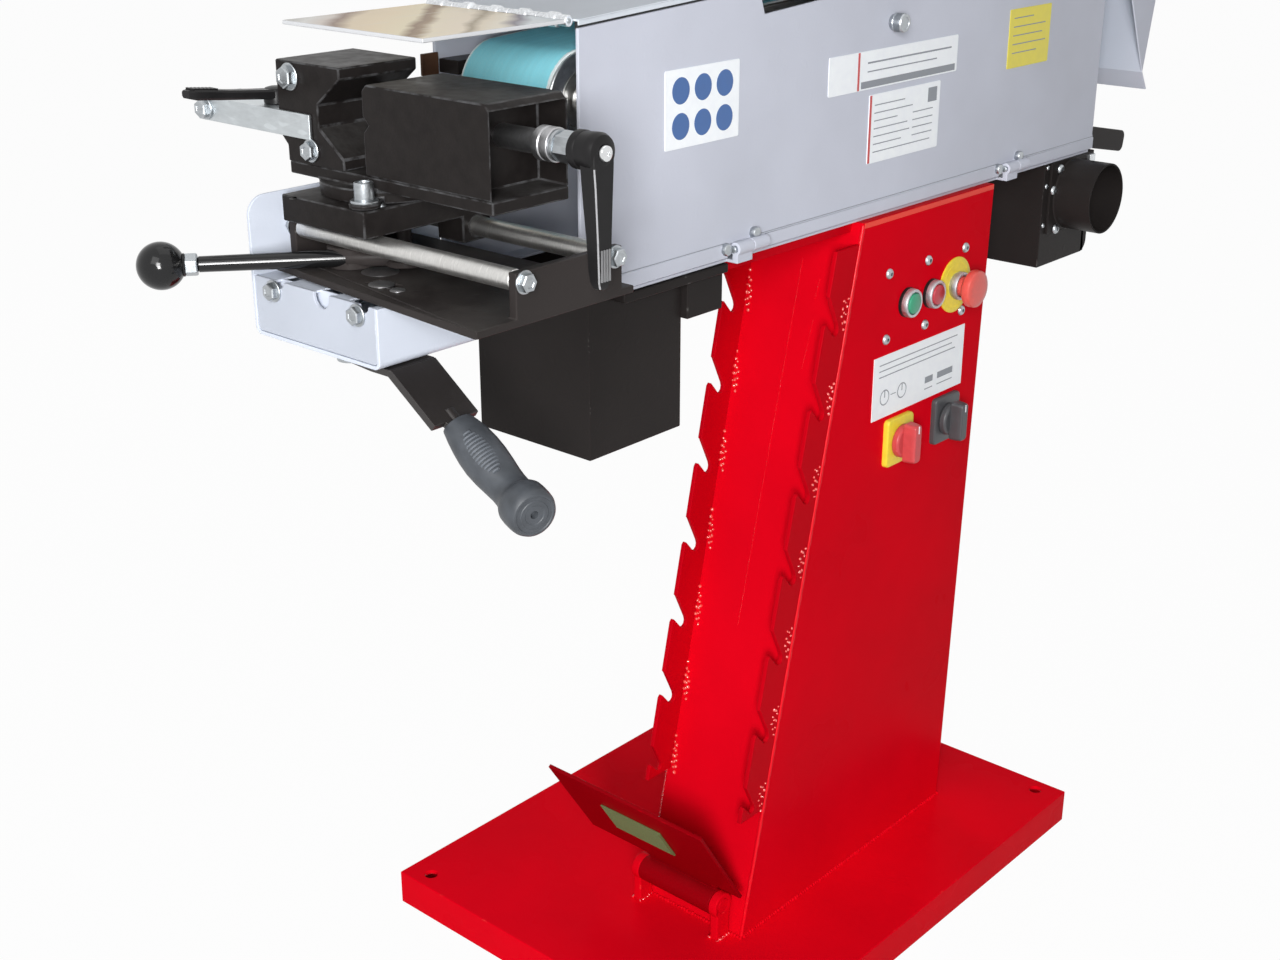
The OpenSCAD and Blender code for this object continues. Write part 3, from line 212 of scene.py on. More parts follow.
def effect(name, inputs, outputs, fill):
    """A shader node group, built once, that several finishes use."""
    tree = bpy.data.node_groups.new(name, "ShaderNodeTree")
    for label, value in inputs.items():
        kind = "NodeSocketVector" if isinstance(value, tuple) else "NodeSocketFloat"
        tree.interface.new_socket(label, in_out="INPUT", socket_type=kind).default_value = value
    for label in outputs:
        tree.interface.new_socket(label, in_out="OUTPUT", socket_type="NodeSocketFloat")
    ends = tree.nodes.new("NodeGroupInput"), tree.nodes.new("NodeGroupOutput")
    for label, value in fill(tree, ends[0].outputs).items():
        tree.links.new(value, ends[1].inputs[label])


def placed(tree, name, **values):
    """One of the shared effects inside a finish."""
    group = add(tree, "ShaderNodeGroup", node_tree=bpy.data.node_groups[name])
    for label, value in values.items():
        group.inputs[label].default_value = value
    return group.outputs


def paint_skin(tree, given):
    """Orange peel, slow clouds in the tone and a few paint nibs."""
    where = spot(tree)
    peel = cloud(tree, where, given["Peel"], 2.0)
    tone = span(tree, cloud(tree, where, given["Cloud"], 3.0), 0.32, 0.68)
    nibs = span(tree, cloud(tree, where, reckon(tree, "MULTIPLY", given["Peel"], 0.23), 0.0), 0.70, 0.80)
    return {"Height": reckon(tree, "ADD", peel, nibs), "Tone": tone}


def edge_wear_and_highlight(tree, given):
    """Patches along the rounded edges, which carry the attribute edge: wear, and a painted highlight where the
    edge tone is lighter than the surface.
    """
    edge = add(tree, "ShaderNodeAttribute", attribute_name="edge").outputs["Fac"]
    patch = cloud(tree, spot(tree), given["Patch"], 4.0, 0.65)
    floor = reckon(tree, "SUBTRACT", 1.0, given["Amount"])
    return {"Mask": reckon(tree, "MULTIPLY", edge, span(tree, patch, floor, 1.0, 0.0, 2.5))}


def settled_dust(tree, given):
    """Dust on faces that look up."""
    normal = add(tree, "ShaderNodeTexCoord").outputs["Normal"]
    up = add(tree, "ShaderNodeSeparateXYZ", {0: normal}).outputs[2]
    patch = cloud(tree, spot(tree), given["Patch"], 5.0, 0.7)
    lies = reckon(tree, "MULTIPLY", span(tree, up, 0.6, 0.95), span(tree, patch, 0.4, 0.75))
    return {"Mask": reckon(tree, "MULTIPLY", lies, given["Amount"])}


def metal_grain(tree, given):
    """Fine drawn or brushed lines with a few long scratches."""
    where = add(tree, "ShaderNodeVectorMath", {0: spot(tree), 1: given["Stretch"]},
                operation="MULTIPLY").outputs[0]
    fine = cloud(tree, where, given["Fineness"], 3.0, 0.6)
    long = cloud(tree, where, reckon(tree, "MULTIPLY", given["Fineness"], 0.3), 1.0)
    scratch = span(tree, long, 0.66, 0.70)
    return {"Grain": span(tree, fine, 0.3, 0.7), "Scratch": scratch,
            "Height": reckon(tree, "SUBTRACT", fine, scratch)}


def cast_skin(tree, given):
    """Sand-cast skin under paint."""
    where = spot(tree)
    pits = add(tree, "ShaderNodeTexVoronoi", {"Vector": where, "Scale": given["Grit"]}).outputs["Distance"]
    lumps = cloud(tree, where, reckon(tree, "MULTIPLY", given["Grit"], 0.22), 3.0)
    return {"Height": reckon(tree, "ADD", reckon(tree, "MULTIPLY", pits, 0.4), lumps),
            "Tone": span(tree, lumps, 0.3, 0.7)}


EFFECTS = [
    ("Paint skin", {"Peel": 520.0, "Cloud": 6.0}, ["Height", "Tone"], paint_skin),
    ("Edge wear", {"Amount": 0.4, "Patch": 60.0}, ["Mask"], edge_wear_and_highlight),
    ("Settled dust", {"Amount": 0.2, "Patch": 14.0}, ["Mask"], settled_dust),
    ("Metal grain", {"Stretch": (1.0, 1.0, 1.0), "Fineness": 700.0}, ["Grain", "Scratch", "Height"],
     metal_grain),
    ("Cast skin", {"Grit": 420.0}, ["Height", "Tone"], cast_skin),
]


def new_finish(name, **sockets):
    """A material with constant values on its own shader, ready for patterns."""
    material = FINISH[name] = bpy.data.materials.new(name)
    material.use_nodes = True
    shader = material.node_tree.nodes["Principled BSDF"]
    for label, value in sockets.items():
        shader.inputs[label.replace("_", " ")].default_value = value
    return material.node_tree, shader


def feed(tree, shader, base, rough, height, strength, depth):
    """Joins a colour, a roughness and a bump height to the shader."""
    tree.links.new(base, shader.inputs["Base Color"])
    tree.links.new(rough, shader.inputs["Roughness"])
    bump = add(tree, "ShaderNodeBump", {"Height": height, "Strength": strength, "Distance": depth})
    tree.links.new(bump.outputs[0], shader.inputs["Normal"])


def paint(name, base, rough, worn_and_lit_edge, dust, shine, coat=0.0, spread=0.07, wear_and_highlight=0.38):
    """Sprayed paint: peel, soft clouds, worn edges in a lighter tone that is also a painted highlight, and a
    little dust.
    """
    tree, shader = new_finish(name, Coat_Weight=coat, Coat_Roughness=0.16, Specular_IOR_Level=shine)
    skin = placed(tree, "Paint skin")
    wear_and_highlight_mask = placed(tree, "Edge wear", Amount=wear_and_highlight)["Mask"]
    dust_mask = placed(tree, "Settled dust", Amount=dust)["Mask"]
    tone = two_tone(tree, skin["Tone"], base, spread)
    tone = mixed(tree, dust_mask, mixed(tree, wear_and_highlight_mask, tone, worn_and_lit_edge), (0.42, 0.40, 0.37))
    gloss = reckon(tree, "ADD", span(tree, skin["Tone"], 0, 1, rough - 0.04, rough + 0.05),
                   reckon(tree, "MULTIPLY", dust_mask, 0.5))
    feed(tree, shader, tone, gloss, skin["Height"], 0.16, 0.0004)


def casting(name, base, rough, worn_and_lit_edge):
    """Painted casting, with lighter worn edges that are also a painted highlight."""
    tree, shader = new_finish(name, Specular_IOR_Level=0.08)
    skin = placed(tree, "Cast skin")
    wear_and_highlight_mask = placed(tree, "Edge wear", Amount=0.6)["Mask"]
    dust_mask = placed(tree, "Settled dust", Amount=0.42)["Mask"]
    tone = mixed(tree, skin["Tone"], shade(base, 0.60), shade(base, 0.80))
    tone = mixed(tree, dust_mask, mixed(tree, wear_and_highlight_mask, tone, worn_and_lit_edge), (0.20, 0.195, 0.19))
    gloss = reckon(tree, "ADD", span(tree, skin["Tone"], 0, 1, rough - 0.05, rough + 0.07),
                   reckon(tree, "MULTIPLY", dust_mask, 0.4))
    feed(tree, shader, tone, gloss, skin["Height"], 0.2, 0.0005)


def metal(name, base, rough, stretch, fineness, spread=0.14, depth=0.00012):
    """Bare or plated metal with a drawn grain, scratches and worn edges."""
    tree, shader = new_finish(name, Metallic=1.0)
    grain = placed(tree, "Metal grain", Stretch=stretch, Fineness=fineness)
    slow = span(tree, cloud(tree, spot(tree), 38.0, 3.0), 0.3, 0.7)
    tone = two_tone(tree, grain["Grain"], base, spread)
    tone = mixed(tree, reckon(tree, "MULTIPLY", slow, 0.35), tone, shade(base, 0.72))
    tone = mixed(tree, reckon(tree, "MULTIPLY", grain["Scratch"], 0.4), tone, shade(base, 1.3))
    gloss = reckon(tree, "ADD", span(tree, grain["Grain"], 0, 1, rough - 0.05, rough + 0.06),
                   reckon(tree, "MULTIPLY", slow, 0.08))
    feed(tree, shader, tone, gloss, grain["Height"], 0.25, depth)


def moulded(name, base, rough, grit=900.0, spread=0.06, coat=0.0, depth=0.00012, wear_and_highlight=0.42, worn_and_lit_edge=None,
            shine=0.5):
    """Moulded plastic or rubber with a fine grained skin and lighter worn edges, which are also a painted
    highlight.
    """
    tree, shader = new_finish(name, Coat_Weight=coat, Coat_Roughness=0.08, Specular_IOR_Level=shine)
    skin = placed(tree, "Cast skin", Grit=grit)
    wear_and_highlight_mask = placed(tree, "Edge wear", Amount=wear_and_highlight, Patch=80.0)["Mask"]
    tone = two_tone(tree, skin["Tone"], base, spread)
    tone = mixed(tree, wear_and_highlight_mask, tone, worn_and_lit_edge or shade(base, 1.5))
    gloss = span(tree, skin["Tone"], 0, 1, rough - 0.04, rough + 0.05)
    feed(tree, shader, tone, gloss, skin["Height"], 0.2, depth)


def belt_cloth(name, base):
    """Coated belt: grain on the outside, pale cut edges, brown cloth inside."""
    tree, shader = new_finish(name, Specular_IOR_Level=0.35)
    where = spot(tree)
    grit = add(tree, "ShaderNodeTexVoronoi", {"Vector": where, "Scale": 1500.0}).outputs["Distance"]
    speck = span(tree, cloud(tree, where, 2200.0, 1.0), 0.58, 0.66)
    streak = span(tree, cloud(tree, spot(tree, (1.0, 30.0, 6.0)), 6.0, 3.0), 0.35, 0.7)
    tone = two_tone(tree, streak, base, 0.04)
    tone = mixed(tree, reckon(tree, "MULTIPLY", speck, 0.35), tone, (0.62, 0.80, 0.82))
    side = add(tree, "ShaderNodeSeparateXYZ", {0: where}).outputs[1]
    off = reckon(tree, "ABSOLUTE", reckon(tree, "ADD", side, 0.036))
    ragged = reckon(tree, "ADD", off, span(tree, cloud(tree, where, 300.0), 0.3, 0.7, -0.0006, 0.0006))
    tone = mixed(tree, span(tree, ragged, 0.0475, 0.0488), tone, (0.80, 0.87, 0.87))
    inner = add(tree, "ShaderNodeAttribute", attribute_name="inner").outputs["Fac"]
    weave = add(tree, "ShaderNodeTexChecker", {"Vector": where, "Scale": 1300.0}).outputs["Fac"]
    cloth = mixed(tree, weave, (0.24, 0.15, 0.085), (0.34, 0.23, 0.14))
    tone = mixed(tree, inner, tone, cloth)
    feed(tree, shader, tone, span(tree, grit, 0, 1, 0.62, 0.85), grit, 0.35, 0.0003)


PAINTED_REFLECTION_BANDS = [
    # distance across the view in metres, tone of the painted reflection there
    (-0.400, (0.58, 0.56, 0.52)), (-0.378, (0.88, 0.86, 0.82)), (-0.362, (0.80, 0.71, 0.64)),
    (-0.352, (0.36, 0.25, 0.19)), (-0.340, (0.88, 0.73, 0.52)), (-0.322, (0.93, 0.77, 0.54)),
    (-0.299, (0.93, 0.82, 0.58)), (-0.291, (0.34, 0.23, 0.14)), (-0.286, (0.40, 0.28, 0.17)),
    (-0.278, (0.93, 0.82, 0.62)), (-0.256, (0.93, 0.81, 0.64)), (-0.248, (0.44, 0.36, 0.25)),
    (-0.240, (0.88, 0.77, 0.60)), (-0.228, (0.93, 0.85, 0.70)), (-0.217, (0.28, 0.25, 0.29)),
    (-0.207, (0.78, 0.82, 0.84)),
]


def mirror_sheet(name, heading):
    """Polished sheet with a painted reflection: warm and dark bands of the room laid across the view, with a
    pale cut edge.
    """
    tree, shader = new_finish(name, Metallic=0.35, Specular_IOR_Level=0.0)
    grain = placed(tree, "Metal grain", Stretch=(0.06, 1.0, 1.0), Fineness=900.0)
    # the bands follow the camera's heading: a reflection painted for this one view
    across = add(tree, "ShaderNodeSeparateXYZ", {0: spot(tree, turn=(0.0, 0.0, math.pi / 2 - heading))})
    wave = span(tree, cloud(tree, spot(tree), 24.0, 2.0), 0.3, 0.7, -0.004, 0.004)
    first, last = PAINTED_REFLECTION_BANDS[0][0], PAINTED_REFLECTION_BANDS[-1][0]
    place = span(tree, reckon(tree, "ADD", across.outputs[0], wave), first, last)
    ramp = add(tree, "ShaderNodeValToRGB", {0: place})
    stops = ramp.color_ramp.elements
    for i, (where, tone) in enumerate(PAINTED_REFLECTION_BANDS):
        share = (where - first) / (last - first)
        stop = stops[0] if i == 0 else stops[-1] if i == len(PAINTED_REFLECTION_BANDS) - 1 else stops.new(share)
        stop.position, stop.color = share, (*tone, 1.0)
    tone = mixed(tree, reckon(tree, "MULTIPLY", grain["Scratch"], 0.4), ramp.outputs[0], (0.85, 0.80, 0.70))
    edge = add(tree, "ShaderNodeAttribute", attribute_name="edge").outputs["Fac"]
    tone = mixed(tree, edge, tone, (0.66, 0.67, 0.69))
    gloss = span(tree, grain["Grain"], 0, 1, 0.16, 0.26)
    feed(tree, shader, tone, gloss, grain["Height"], 0.12, 0.0001)


def print_film(name, base):
    """Printed plate or card: a plain ink with a faint mottle."""
    tree, shader = new_finish(name, Coat_Weight=0.2, Coat_Roughness=0.2)
    mottle = span(tree, cloud(tree, spot(tree), 130.0, 4.0), 0.3, 0.7)
    tone = mixed(tree, mottle, shade(base, 0.975), shade(base, 1.02))
    feed(tree, shader, tone, span(tree, mottle, 0, 1, 0.29, 0.40), mottle, 0.08, 0.0001)


# Meshes


def upright(x, y, z):
    """A frame whose Z axis points up."""
    return Matrix.Translation((x, y, z))


def spin(degrees, axis):
    """A turn about one of the axes."""
    return Matrix.Rotation(math.radians(degrees), 4, axis)


def along_y(x, y, z):
    """A frame whose Z axis points at the operator, along -Y."""
    return upright(x, y, z) @ spin(90, "X")


def along_x(x, y, z):
    """A frame whose Z axis points to the front, along -X."""
    return upright(x, y, z) @ spin(-90, "Y")


def box_mm(node):
    """The two corners of a node's box, in millimetres."""
    return [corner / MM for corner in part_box(node)]


def column_front(z):
    """X of the column's front face at a height, in millimetres."""
    depth, floor, tall = 166, 40, 745
    return -depth + depth * (z - floor) / tall


def circle(r, steps, start=0.0):
    """Points of a circle."""
    step = 2 * math.pi / steps
    return [(r * math.cos(start + i * step), r * math.sin(start + i * step)) for i in range(steps)]


def bend(x, y, r, start, end, steps=6):
    """Points of an arc, angles in degrees."""
    angles = [math.radians(start + (end - start) * i / steps) for i in range(steps + 1)]
    return [(x + r * math.cos(a), y + r * math.sin(a)) for a in angles]


def chamfered(half, low, high, r):
    """Section of a bar with cut corners, as wide to both sides of its middle."""
    return [(-half, low + r), (-half + r, low), (half - r, low), (half, low + r), (half, high - r),
            (half - r, high), (-half + r, high), (-half, high - r)]


def rounded(w, h, r, steps=5):
    """Outline of a plate with round corners, about its centre."""
    corners = [(w / 2 - r, h / 2 - r, 0), (r - w / 2, h / 2 - r, 90), (r - w / 2, r - h / 2, 180),
               (w / 2 - r, r - h / 2, 270)]
    return [p for x, y, a in corners for p in bend(x, y, r, a, a + 90, steps)]


class Sketch:
    """A mesh in the making, in millimetres in the frame of the part."""

    def __init__(self):
        self.bm = bmesh.new()

    def loft(self, rings, capped=True, looped=False):
        """Skins a row of rings that have as many points each."""
        n, last = len(rings[0]), len(rings) - 1
        verts = [self.bm.verts.new(p) for ring in rings for p in ring]
        faces = [(a * n + i, a * n + (i + 1) % n, b * n + (i + 1) % n, b * n + i)
                 for a, b in [(k, k + 1) for k in range(last)] + ([(last, 0)] if looped else [])
                 for i in range(n)]
        if capped and not looped:
            faces += [tuple(range(n))[::-1], tuple(range(last * n, last * n + n))]
        for face in faces:
            self.bm.faces.new([verts[i] for i in face])
        return self

    def prism(self, outline, low, high, place):
        """An outline pushed along the frame's Z axis."""
        return self.loft([[place @ Vector((x, y, h)) for x, y in outline] for h in (low, high)])

    def block(self, low, high):
        """A box between two corners."""
        outline = [(low[0], low[1]), (high[0], low[1]), (high[0], high[1]), (low[0], high[1])]
        return self.prism(outline, low[2], high[2], Matrix.Identity(4))

    def hexagon(self, r, rows, place, start=0.0):
        """A hexagon drawn through rows of (scale, height)."""
        corners = circle(r, 6, start)
        return self.loft([[place @ Vector((x * k, y * k, h)) for x, y in corners] for k, h in rows])

    def turned(self, profile, place, steps, looped=False):
        """A profile of (radius, height) pairs turned about the frame's Z axis."""
        tips = [(i, h) for i, (r, h) in enumerate(profile) if r <= 0]
        body = [(r, h) for r, h in profile if r > 0]
        rings = [[place @ Vector((x, y, h)) for x, y in circle(r, steps)] for r, h in body]
        base = len(self.bm.verts)
        self.loft(rings, capped=not tips, looped=looped)
        self.bm.verts.ensure_lookup_table()
        for i, h in tips:
            tip = self.bm.verts.new(place @ Vector((0, 0, h)))
            self.bm.verts.ensure_lookup_table()
            start = base if i == 0 else base + (len(body) - 1) * steps
            for k in range(steps):
                self.bm.faces.new((self.bm.verts[start + k], self.bm.verts[start + (k + 1) % steps], tip))
        return self


def linked(name, mesh):
    """A new object at the origin."""
    piece = bpy.data.objects.new(name, mesh)
    bpy.context.scene.collection.objects.link(piece)
    return piece


def settled(piece):
    """Replaces a piece's mesh by what its modifiers make of it."""
    graph = bpy.context.evaluated_depsgraph_get()
    mesh = bpy.data.meshes.new_from_object(piece.evaluated_get(graph), depsgraph=graph)
    old = piece.data
    piece.modifiers.clear()
    piece.data = mesh
    bpy.data.meshes.remove(old)
    mesh.name = piece.name


def round_edges(piece, width, steps):
    """Rounds every sharp edge and marks the rounded faces in the attribute edge."""
    mesh = piece.data
    mesh.shade_smooth()
    # the bevel tells its new faces by a second slot, so there have to be two for a while
    mark = bpy.data.materials.get("mark") or bpy.data.materials.new("mark")
    for _ in range(2):
        mesh.materials.append(mark)
    bevel = piece.modifiers.new("Rounding", "BEVEL")
    bevel.width = width
    bevel.segments = steps
    bevel.limit_method = "ANGLE"
    bevel.angle_limit = SHARP
    bevel.use_clamp_overlap = False
    bevel.material = 1
    even = piece.modifiers.new("Even shading", "WEIGHTED_NORMAL")
    even.weight = 90
    even.keep_sharp = True
    settled(piece)
    mesh = piece.data
    edge = mesh.attributes.new("edge", "FLOAT", "FACE")
    edge.data.foreach_set("value", [float(p.material_index) for p in mesh.polygons])
    mesh.polygons.foreach_set("material_index", [0] * len(mesh.polygons))


def finished(piece, body, finish, nodes=()):
    """Gives a piece its finish, its body and the nodes that it stands for."""
    piece.data.materials.clear()
    piece.data.materials.append(FINISH[finish])
    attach(piece, body)
    if nodes:
        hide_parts(*nodes)
    return piece


def new_mesh(name, bm, smooth=True):
    """A mesh from a bmesh, which is freed."""
    mesh = bpy.data.meshes.new(name)
    bm.to_mesh(mesh)
    bm.free()
    if smooth:
        mesh.shade_smooth()
        mesh.set_sharp_from_angle(angle=SHARP)
    return mesh


def sketch_mesh(name, sketch, smooth=True):
    """A mesh in metres from a sketch, merged and facing outwards."""
    bm = sketch.bm
    bmesh.ops.remove_doubles(bm, verts=bm.verts, dist=1e-4)
    bmesh.ops.recalc_face_normals(bm, faces=bm.faces)
    bm.transform(Matrix.Scale(MM, 4))
    return new_mesh(name, bm, smooth)


def made(name, sketch, body, finish, nodes=(), edge=0.0, steps=2, smooth=True):
    """Turns a sketch into a piece."""
    piece = linked(name, sketch_mesh(name, sketch, smooth and not edge))
    if edge:
        round_edges(piece, edge, steps)
    return finished(piece, body, finish, nodes)


def slab(name, low, high, body, finish, edge=0.0):
    """A piece that is one box."""
    return made(name, Sketch().block(low, high), body, finish, edge=edge)


def lathe(name, profile, place, steps, body, finish, nodes=(), edge=0.0, looped=False):
    """A piece that is one turned profile."""
    return made(name, Sketch().turned(profile, place, steps, looped), body, finish, nodes, edge)


def node_mesh(node, above=0.0):
    """A merged copy of a node's mesh, with its flat faces above a height whole."""
    bm = bmesh.new()
    bm.from_mesh(frame["nodes"][node].data)
    bmesh.ops.remove_doubles(bm, verts=bm.verts, dist=2e-6)
    high = [e for e in bm.edges if min(v.co.z for v in e.verts) >= above]
    bmesh.ops.dissolve_limit(bm, angle_limit=math.radians(0.8), edges=high,
                             verts=[v for v in bm.verts if v.co.z >= above])
    return bm


def softened(name, node, finish, edge, steps):
    """A node's own shape with rounded edges, on the node's body."""
    bm = node_mesh(node, WHOLE_ABOVE.get(node, 0.0))
    if node in RESHAPED:
        RESHAPED[node](bm)
    piece = linked(name, new_mesh(name, bm, smooth=False))
    round_edges(piece, edge, steps)
    return finished(piece, frame["nodes"][node]["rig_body"], finish, [node])


def close_holes(bm):
    """Closes what a cut left open."""
    bmesh.ops.holes_fill(bm, edges=[e for e in bm.edges if e.is_boundary])
    bmesh.ops.recalc_face_normals(bm, faces=bm.faces)


def hollow_jaw(bm):
    """Opens the moving jaw's near end into a pocket round the spindle."""
    x, z, bore_r, rim, lip, deep = SPINDLE_X * MM, SPINDLE_Z * MM, 0.013, 0.006, 0.0004, 0.030

    def off_axis(v):
        """Distance from the spindle's axis."""
        return math.hypot(v.co.x - x, v.co.z - z)

    near = min(v.co.y for v in bm.verts)
    end = [f for f in bm.faces if f.normal.y < -0.99 and f.calc_center_median().y < near + 1e-4]
    ring = {v for f in end for v in f.verts if off_axis(v) > bore_r}
    bore = [f for f in bm.faces if all(off_axis(v) < bore_r for v in f.verts)]
    bmesh.ops.delete(bm, geom=list(set(end + bore)), context="FACES")
    face = bm.faces.new(sorted(ring, key=lambda v: math.atan2(v.co.z - z, v.co.x - x)))
    for inset in (rim, lip):
        bmesh.ops.inset_region(bm, faces=[face], thickness=inset, use_even_offset=True, use_boundary=True)
    bmesh.ops.translate(bm, verts=face.verts, vec=(0.0, deep, 0.0))
    close_holes(bm)


def plain_slide(bm):
    """Takes the stop pin off the slide's top, which lies under the vise."""
    top = 0.8862
    bmesh.ops.delete(bm, geom=[v for v in bm.verts if v.co.z > top], context="VERTS")
    close_holes(bm)


WHOLE_ABOVE = {"side_door": 0.81}
RESHAPED = {"moving_jaw": hollow_jaw, "carriage": plain_slide}


# Geometry Nodes for what repeats


def gn_tree(name, inputs):
    """An empty geometry tree: geometry in, named inputs and a finish, geometry out."""
    tree = bpy.data.node_groups.new(name, "GeometryNodeTree")
    face = tree.interface
    face.new_socket("Geometry", in_out="INPUT", socket_type="NodeSocketGeometry")
    for label, kind, value in [*inputs, ("Finish", "Material", None)]:
        socket = face.new_socket(label, in_out="INPUT", socket_type="NodeSocket" + kind)
        if value is not None:
            socket.default_value = value
    face.new_socket("Geometry", in_out="OUTPUT", socket_type="NodeSocketGeometry")
    return tree, tree.nodes.new("NodeGroupInput").outputs


def gn_end(tree, geometry, finish):
    """Realize Instances and Set Material, as every tree ends."""
    real = add(tree, "GeometryNodeRealizeInstances", {0: geometry}).outputs[0]
    dressed = add(tree, "GeometryNodeSetMaterial", {"Geometry": real, "Material": finish}).outputs[0]
    tree.links.new(dressed, tree.nodes.new("NodeGroupOutput").inputs[0])
    return tree


def named(tree, label, kind):
    """A named attribute of the points."""
    return add(tree, "GeometryNodeInputNamedAttribute", {"Name": label}, data_type=kind).outputs[0]


def fastener_tree():
    """One head on every point, turned to the point's facing and scaled by its size."""
    tree, given = gn_tree("Fasteners", [("Head", "Object", None)])
    points = add(tree, "GeometryNodeMeshToPoints", {0: given["Geometry"]}).outputs[0]
    head = add(tree, "GeometryNodeObjectInfo", {"Object": given["Head"]}).outputs["Geometry"]
    turn = add(tree, "FunctionNodeAlignRotationToVector", {"Vector": named(tree, "facing", "FLOAT_VECTOR")},
               axis="Z").outputs[0]
    put = add(tree, "GeometryNodeInstanceOnPoints", {"Points": points, "Instance": head, "Rotation": turn,
                                                     "Scale": named(tree, "size", "FLOAT")}).outputs[0]
    return gn_end(tree, put, given["Finish"])


def weld_tree():
    """Ripples of weld metal along a line."""
    tree, given = gn_tree("Weld bead", [("Pitch", "Float", 0.004), ("Width", "Float", 0.0024),
                                        ("Seed", "Int", 3)])
    line = add(tree, "GeometryNodeMeshToCurve", {0: given["Geometry"]}).outputs[0]
    steps = add(tree, "GeometryNodeResampleCurve", {"Curve": line, "Length": given["Pitch"]},
                mode="LENGTH").outputs[0]
    ball = add(tree, "GeometryNodeMeshIcoSphere", {"Radius": 1.0, "Subdivisions": 2}).outputs[0]
    swell = add(tree, "FunctionNodeRandomValue", {0: (0.55, 0.55, 0.55), 1: (1.25, 1.1, 1.25),
                                                  "Seed": given["Seed"]}, data_type="FLOAT_VECTOR").outputs[0]
    size = add(tree, "ShaderNodeVectorMath", {0: swell, "Scale": given["Width"]},
               operation="SCALE").outputs[0]
    turn = add(tree, "FunctionNodeRandomValue", {0: (0.0, 0.0, 0.0), 1: (6.0, 6.0, 6.0),
                                                 "Seed": given["Seed"]}, data_type="FLOAT_VECTOR").outputs[0]
    put = add(tree, "GeometryNodeInstanceOnPoints", {"Points": steps, "Instance": ball, "Rotation": turn,
                                                     "Scale": size}).outputs[0]
    smooth = add(tree, "GeometryNodeSetShadeSmooth", {0: put}).outputs[0]
    return gn_end(tree, smooth, given["Finish"])


def row_tree():
    """Copies of one rib in a straight row."""
    tree, given = gn_tree("Rib row", [("Count", "Int", 5), ("Step", "Vector", (0.0, 0.0, 0.005))])
    line = add(tree, "GeometryNodeMeshLine", {"Count": given["Count"], "Offset": given["Step"]}).outputs[0]
    put = add(tree, "GeometryNodeInstanceOnPoints",
              {"Points": line, "Instance": given["Geometry"]}).outputs[0]
    return gn_end(tree, put, given["Finish"])


def ring_tree():
    """Copies of one slat, fin or slot round an axis along Y."""
    tree, given = gn_tree("Slat ring", [("Count", "Int", 12), ("Centre", "Vector", (0.0, 0.0, 0.0))])
    spots = add(tree, "GeometryNodePoints", {"Count": given["Count"], "Position": given["Centre"]}).outputs[0]
    index = add(tree, "GeometryNodeInputIndex").outputs[0]
    share = reckon(tree, "DIVIDE", index, given["Count"])
    angle = reckon(tree, "MULTIPLY", share, 2 * math.pi)
    turn = add(tree, "FunctionNodeAxisAngleToRotation", {"Axis": (0.0, 1.0, 0.0), "Angle": angle}).outputs[0]
    put = add(tree, "GeometryNodeInstanceOnPoints", {"Points": spots, "Instance": given["Geometry"],
                                                     "Rotation": turn}).outputs[0]
    return gn_end(tree, put, given["Finish"])


TREES = {"Fasteners": fastener_tree, "Weld bead": weld_tree, "Rib row": row_tree, "Slat ring": ring_tree}


def grown(name, mesh, tree, body, slot, finish, nodes=(), **values):
    """A piece that a geometry tree makes from a mesh; values are the tree's named inputs."""
    group = bpy.data.node_groups.get(tree) or TREES[tree]()
    piece = linked(name, mesh)
    work = piece.modifiers.new(tree, "NODES")
    work.node_group = group
    values["Finish"] = FINISH[finish]
    for item in group.interface.items_tree:
        if item.in_out == "INPUT" and item.name in values:
            work[item.identifier] = values[item.name]
    settled(piece)
    if not len(piece.data.polygons):
        raise RuntimeError(f"{name}: the tree {tree} made nothing")
    return finished(piece, body, finish, nodes)


def lines_mesh(name, lines):
    """Edges along lists of points in millimetres."""
    points, edges = [], []
    for line in lines:
        start = len(points)
        points += [Vector(p) * MM for p in line]
        edges += [(start + i, start + i + 1) for i in range(len(line) - 1)]
    mesh = bpy.data.meshes.new(name)
    mesh.from_pydata(points, edges, [])
    return mesh


def points_mesh(name, spots):
    """Points in millimetres with a facing and a size each."""
    mesh = bpy.data.meshes.new(name)
    mesh.from_pydata([Vector(p) * MM for p, _, _ in spots], [], [])
    facing = mesh.attributes.new("facing", "FLOAT_VECTOR", "POINT")
    facing.data.foreach_set("vector", [c for _, f, _ in spots for c in f])
    size = mesh.attributes.new("size", "FLOAT", "POINT")
    size.data.foreach_set("value", [s for _, _, s in spots])
    return mesh


def hex_head():
    """Flanged hexagon head of an M8 bolt, chamfered, with its washer."""
    s, flat = Sketch(), upright(0, 0, 0)
    s.turned([(9.0, 0.0), (9.2, 0.4), (9.2, 1.3), (8.8, 1.7), (0, 1.7)], flat, 36)
    return s.hexagon(7.5, [(1, 1.6), (1, 5.9), (0.9, 6.9), (0.55, 6.9), (0.46, 6.3)], flat)


def dome_head():
    """Button head of an M5 screw with a hexagon recess."""
    steps, recess, top, floor = 36, 2.1, 3.5, 1.2
    rings = [(5.4, 0.0), (5.6, 0.5), (5.2, 1.8), (4.2, 2.9), (3.0, top)]
    sides = [[Vector((x, y, h)) for x, y in circle(r, steps)] for r, h in rings]
    flats = [Vector((x, y, 0)) * (math.cos(math.radians(30)) / math.cos(math.radians((10 * i) % 60 - 30)))
             for i, (x, y) in enumerate(circle(recess, steps))]
    sides.append([p + Vector((0, 0, top)) for p in flats])
    sides.append([p * 0.97 + Vector((0, 0, floor)) for p in flats])
    return Sketch().loft(sides)


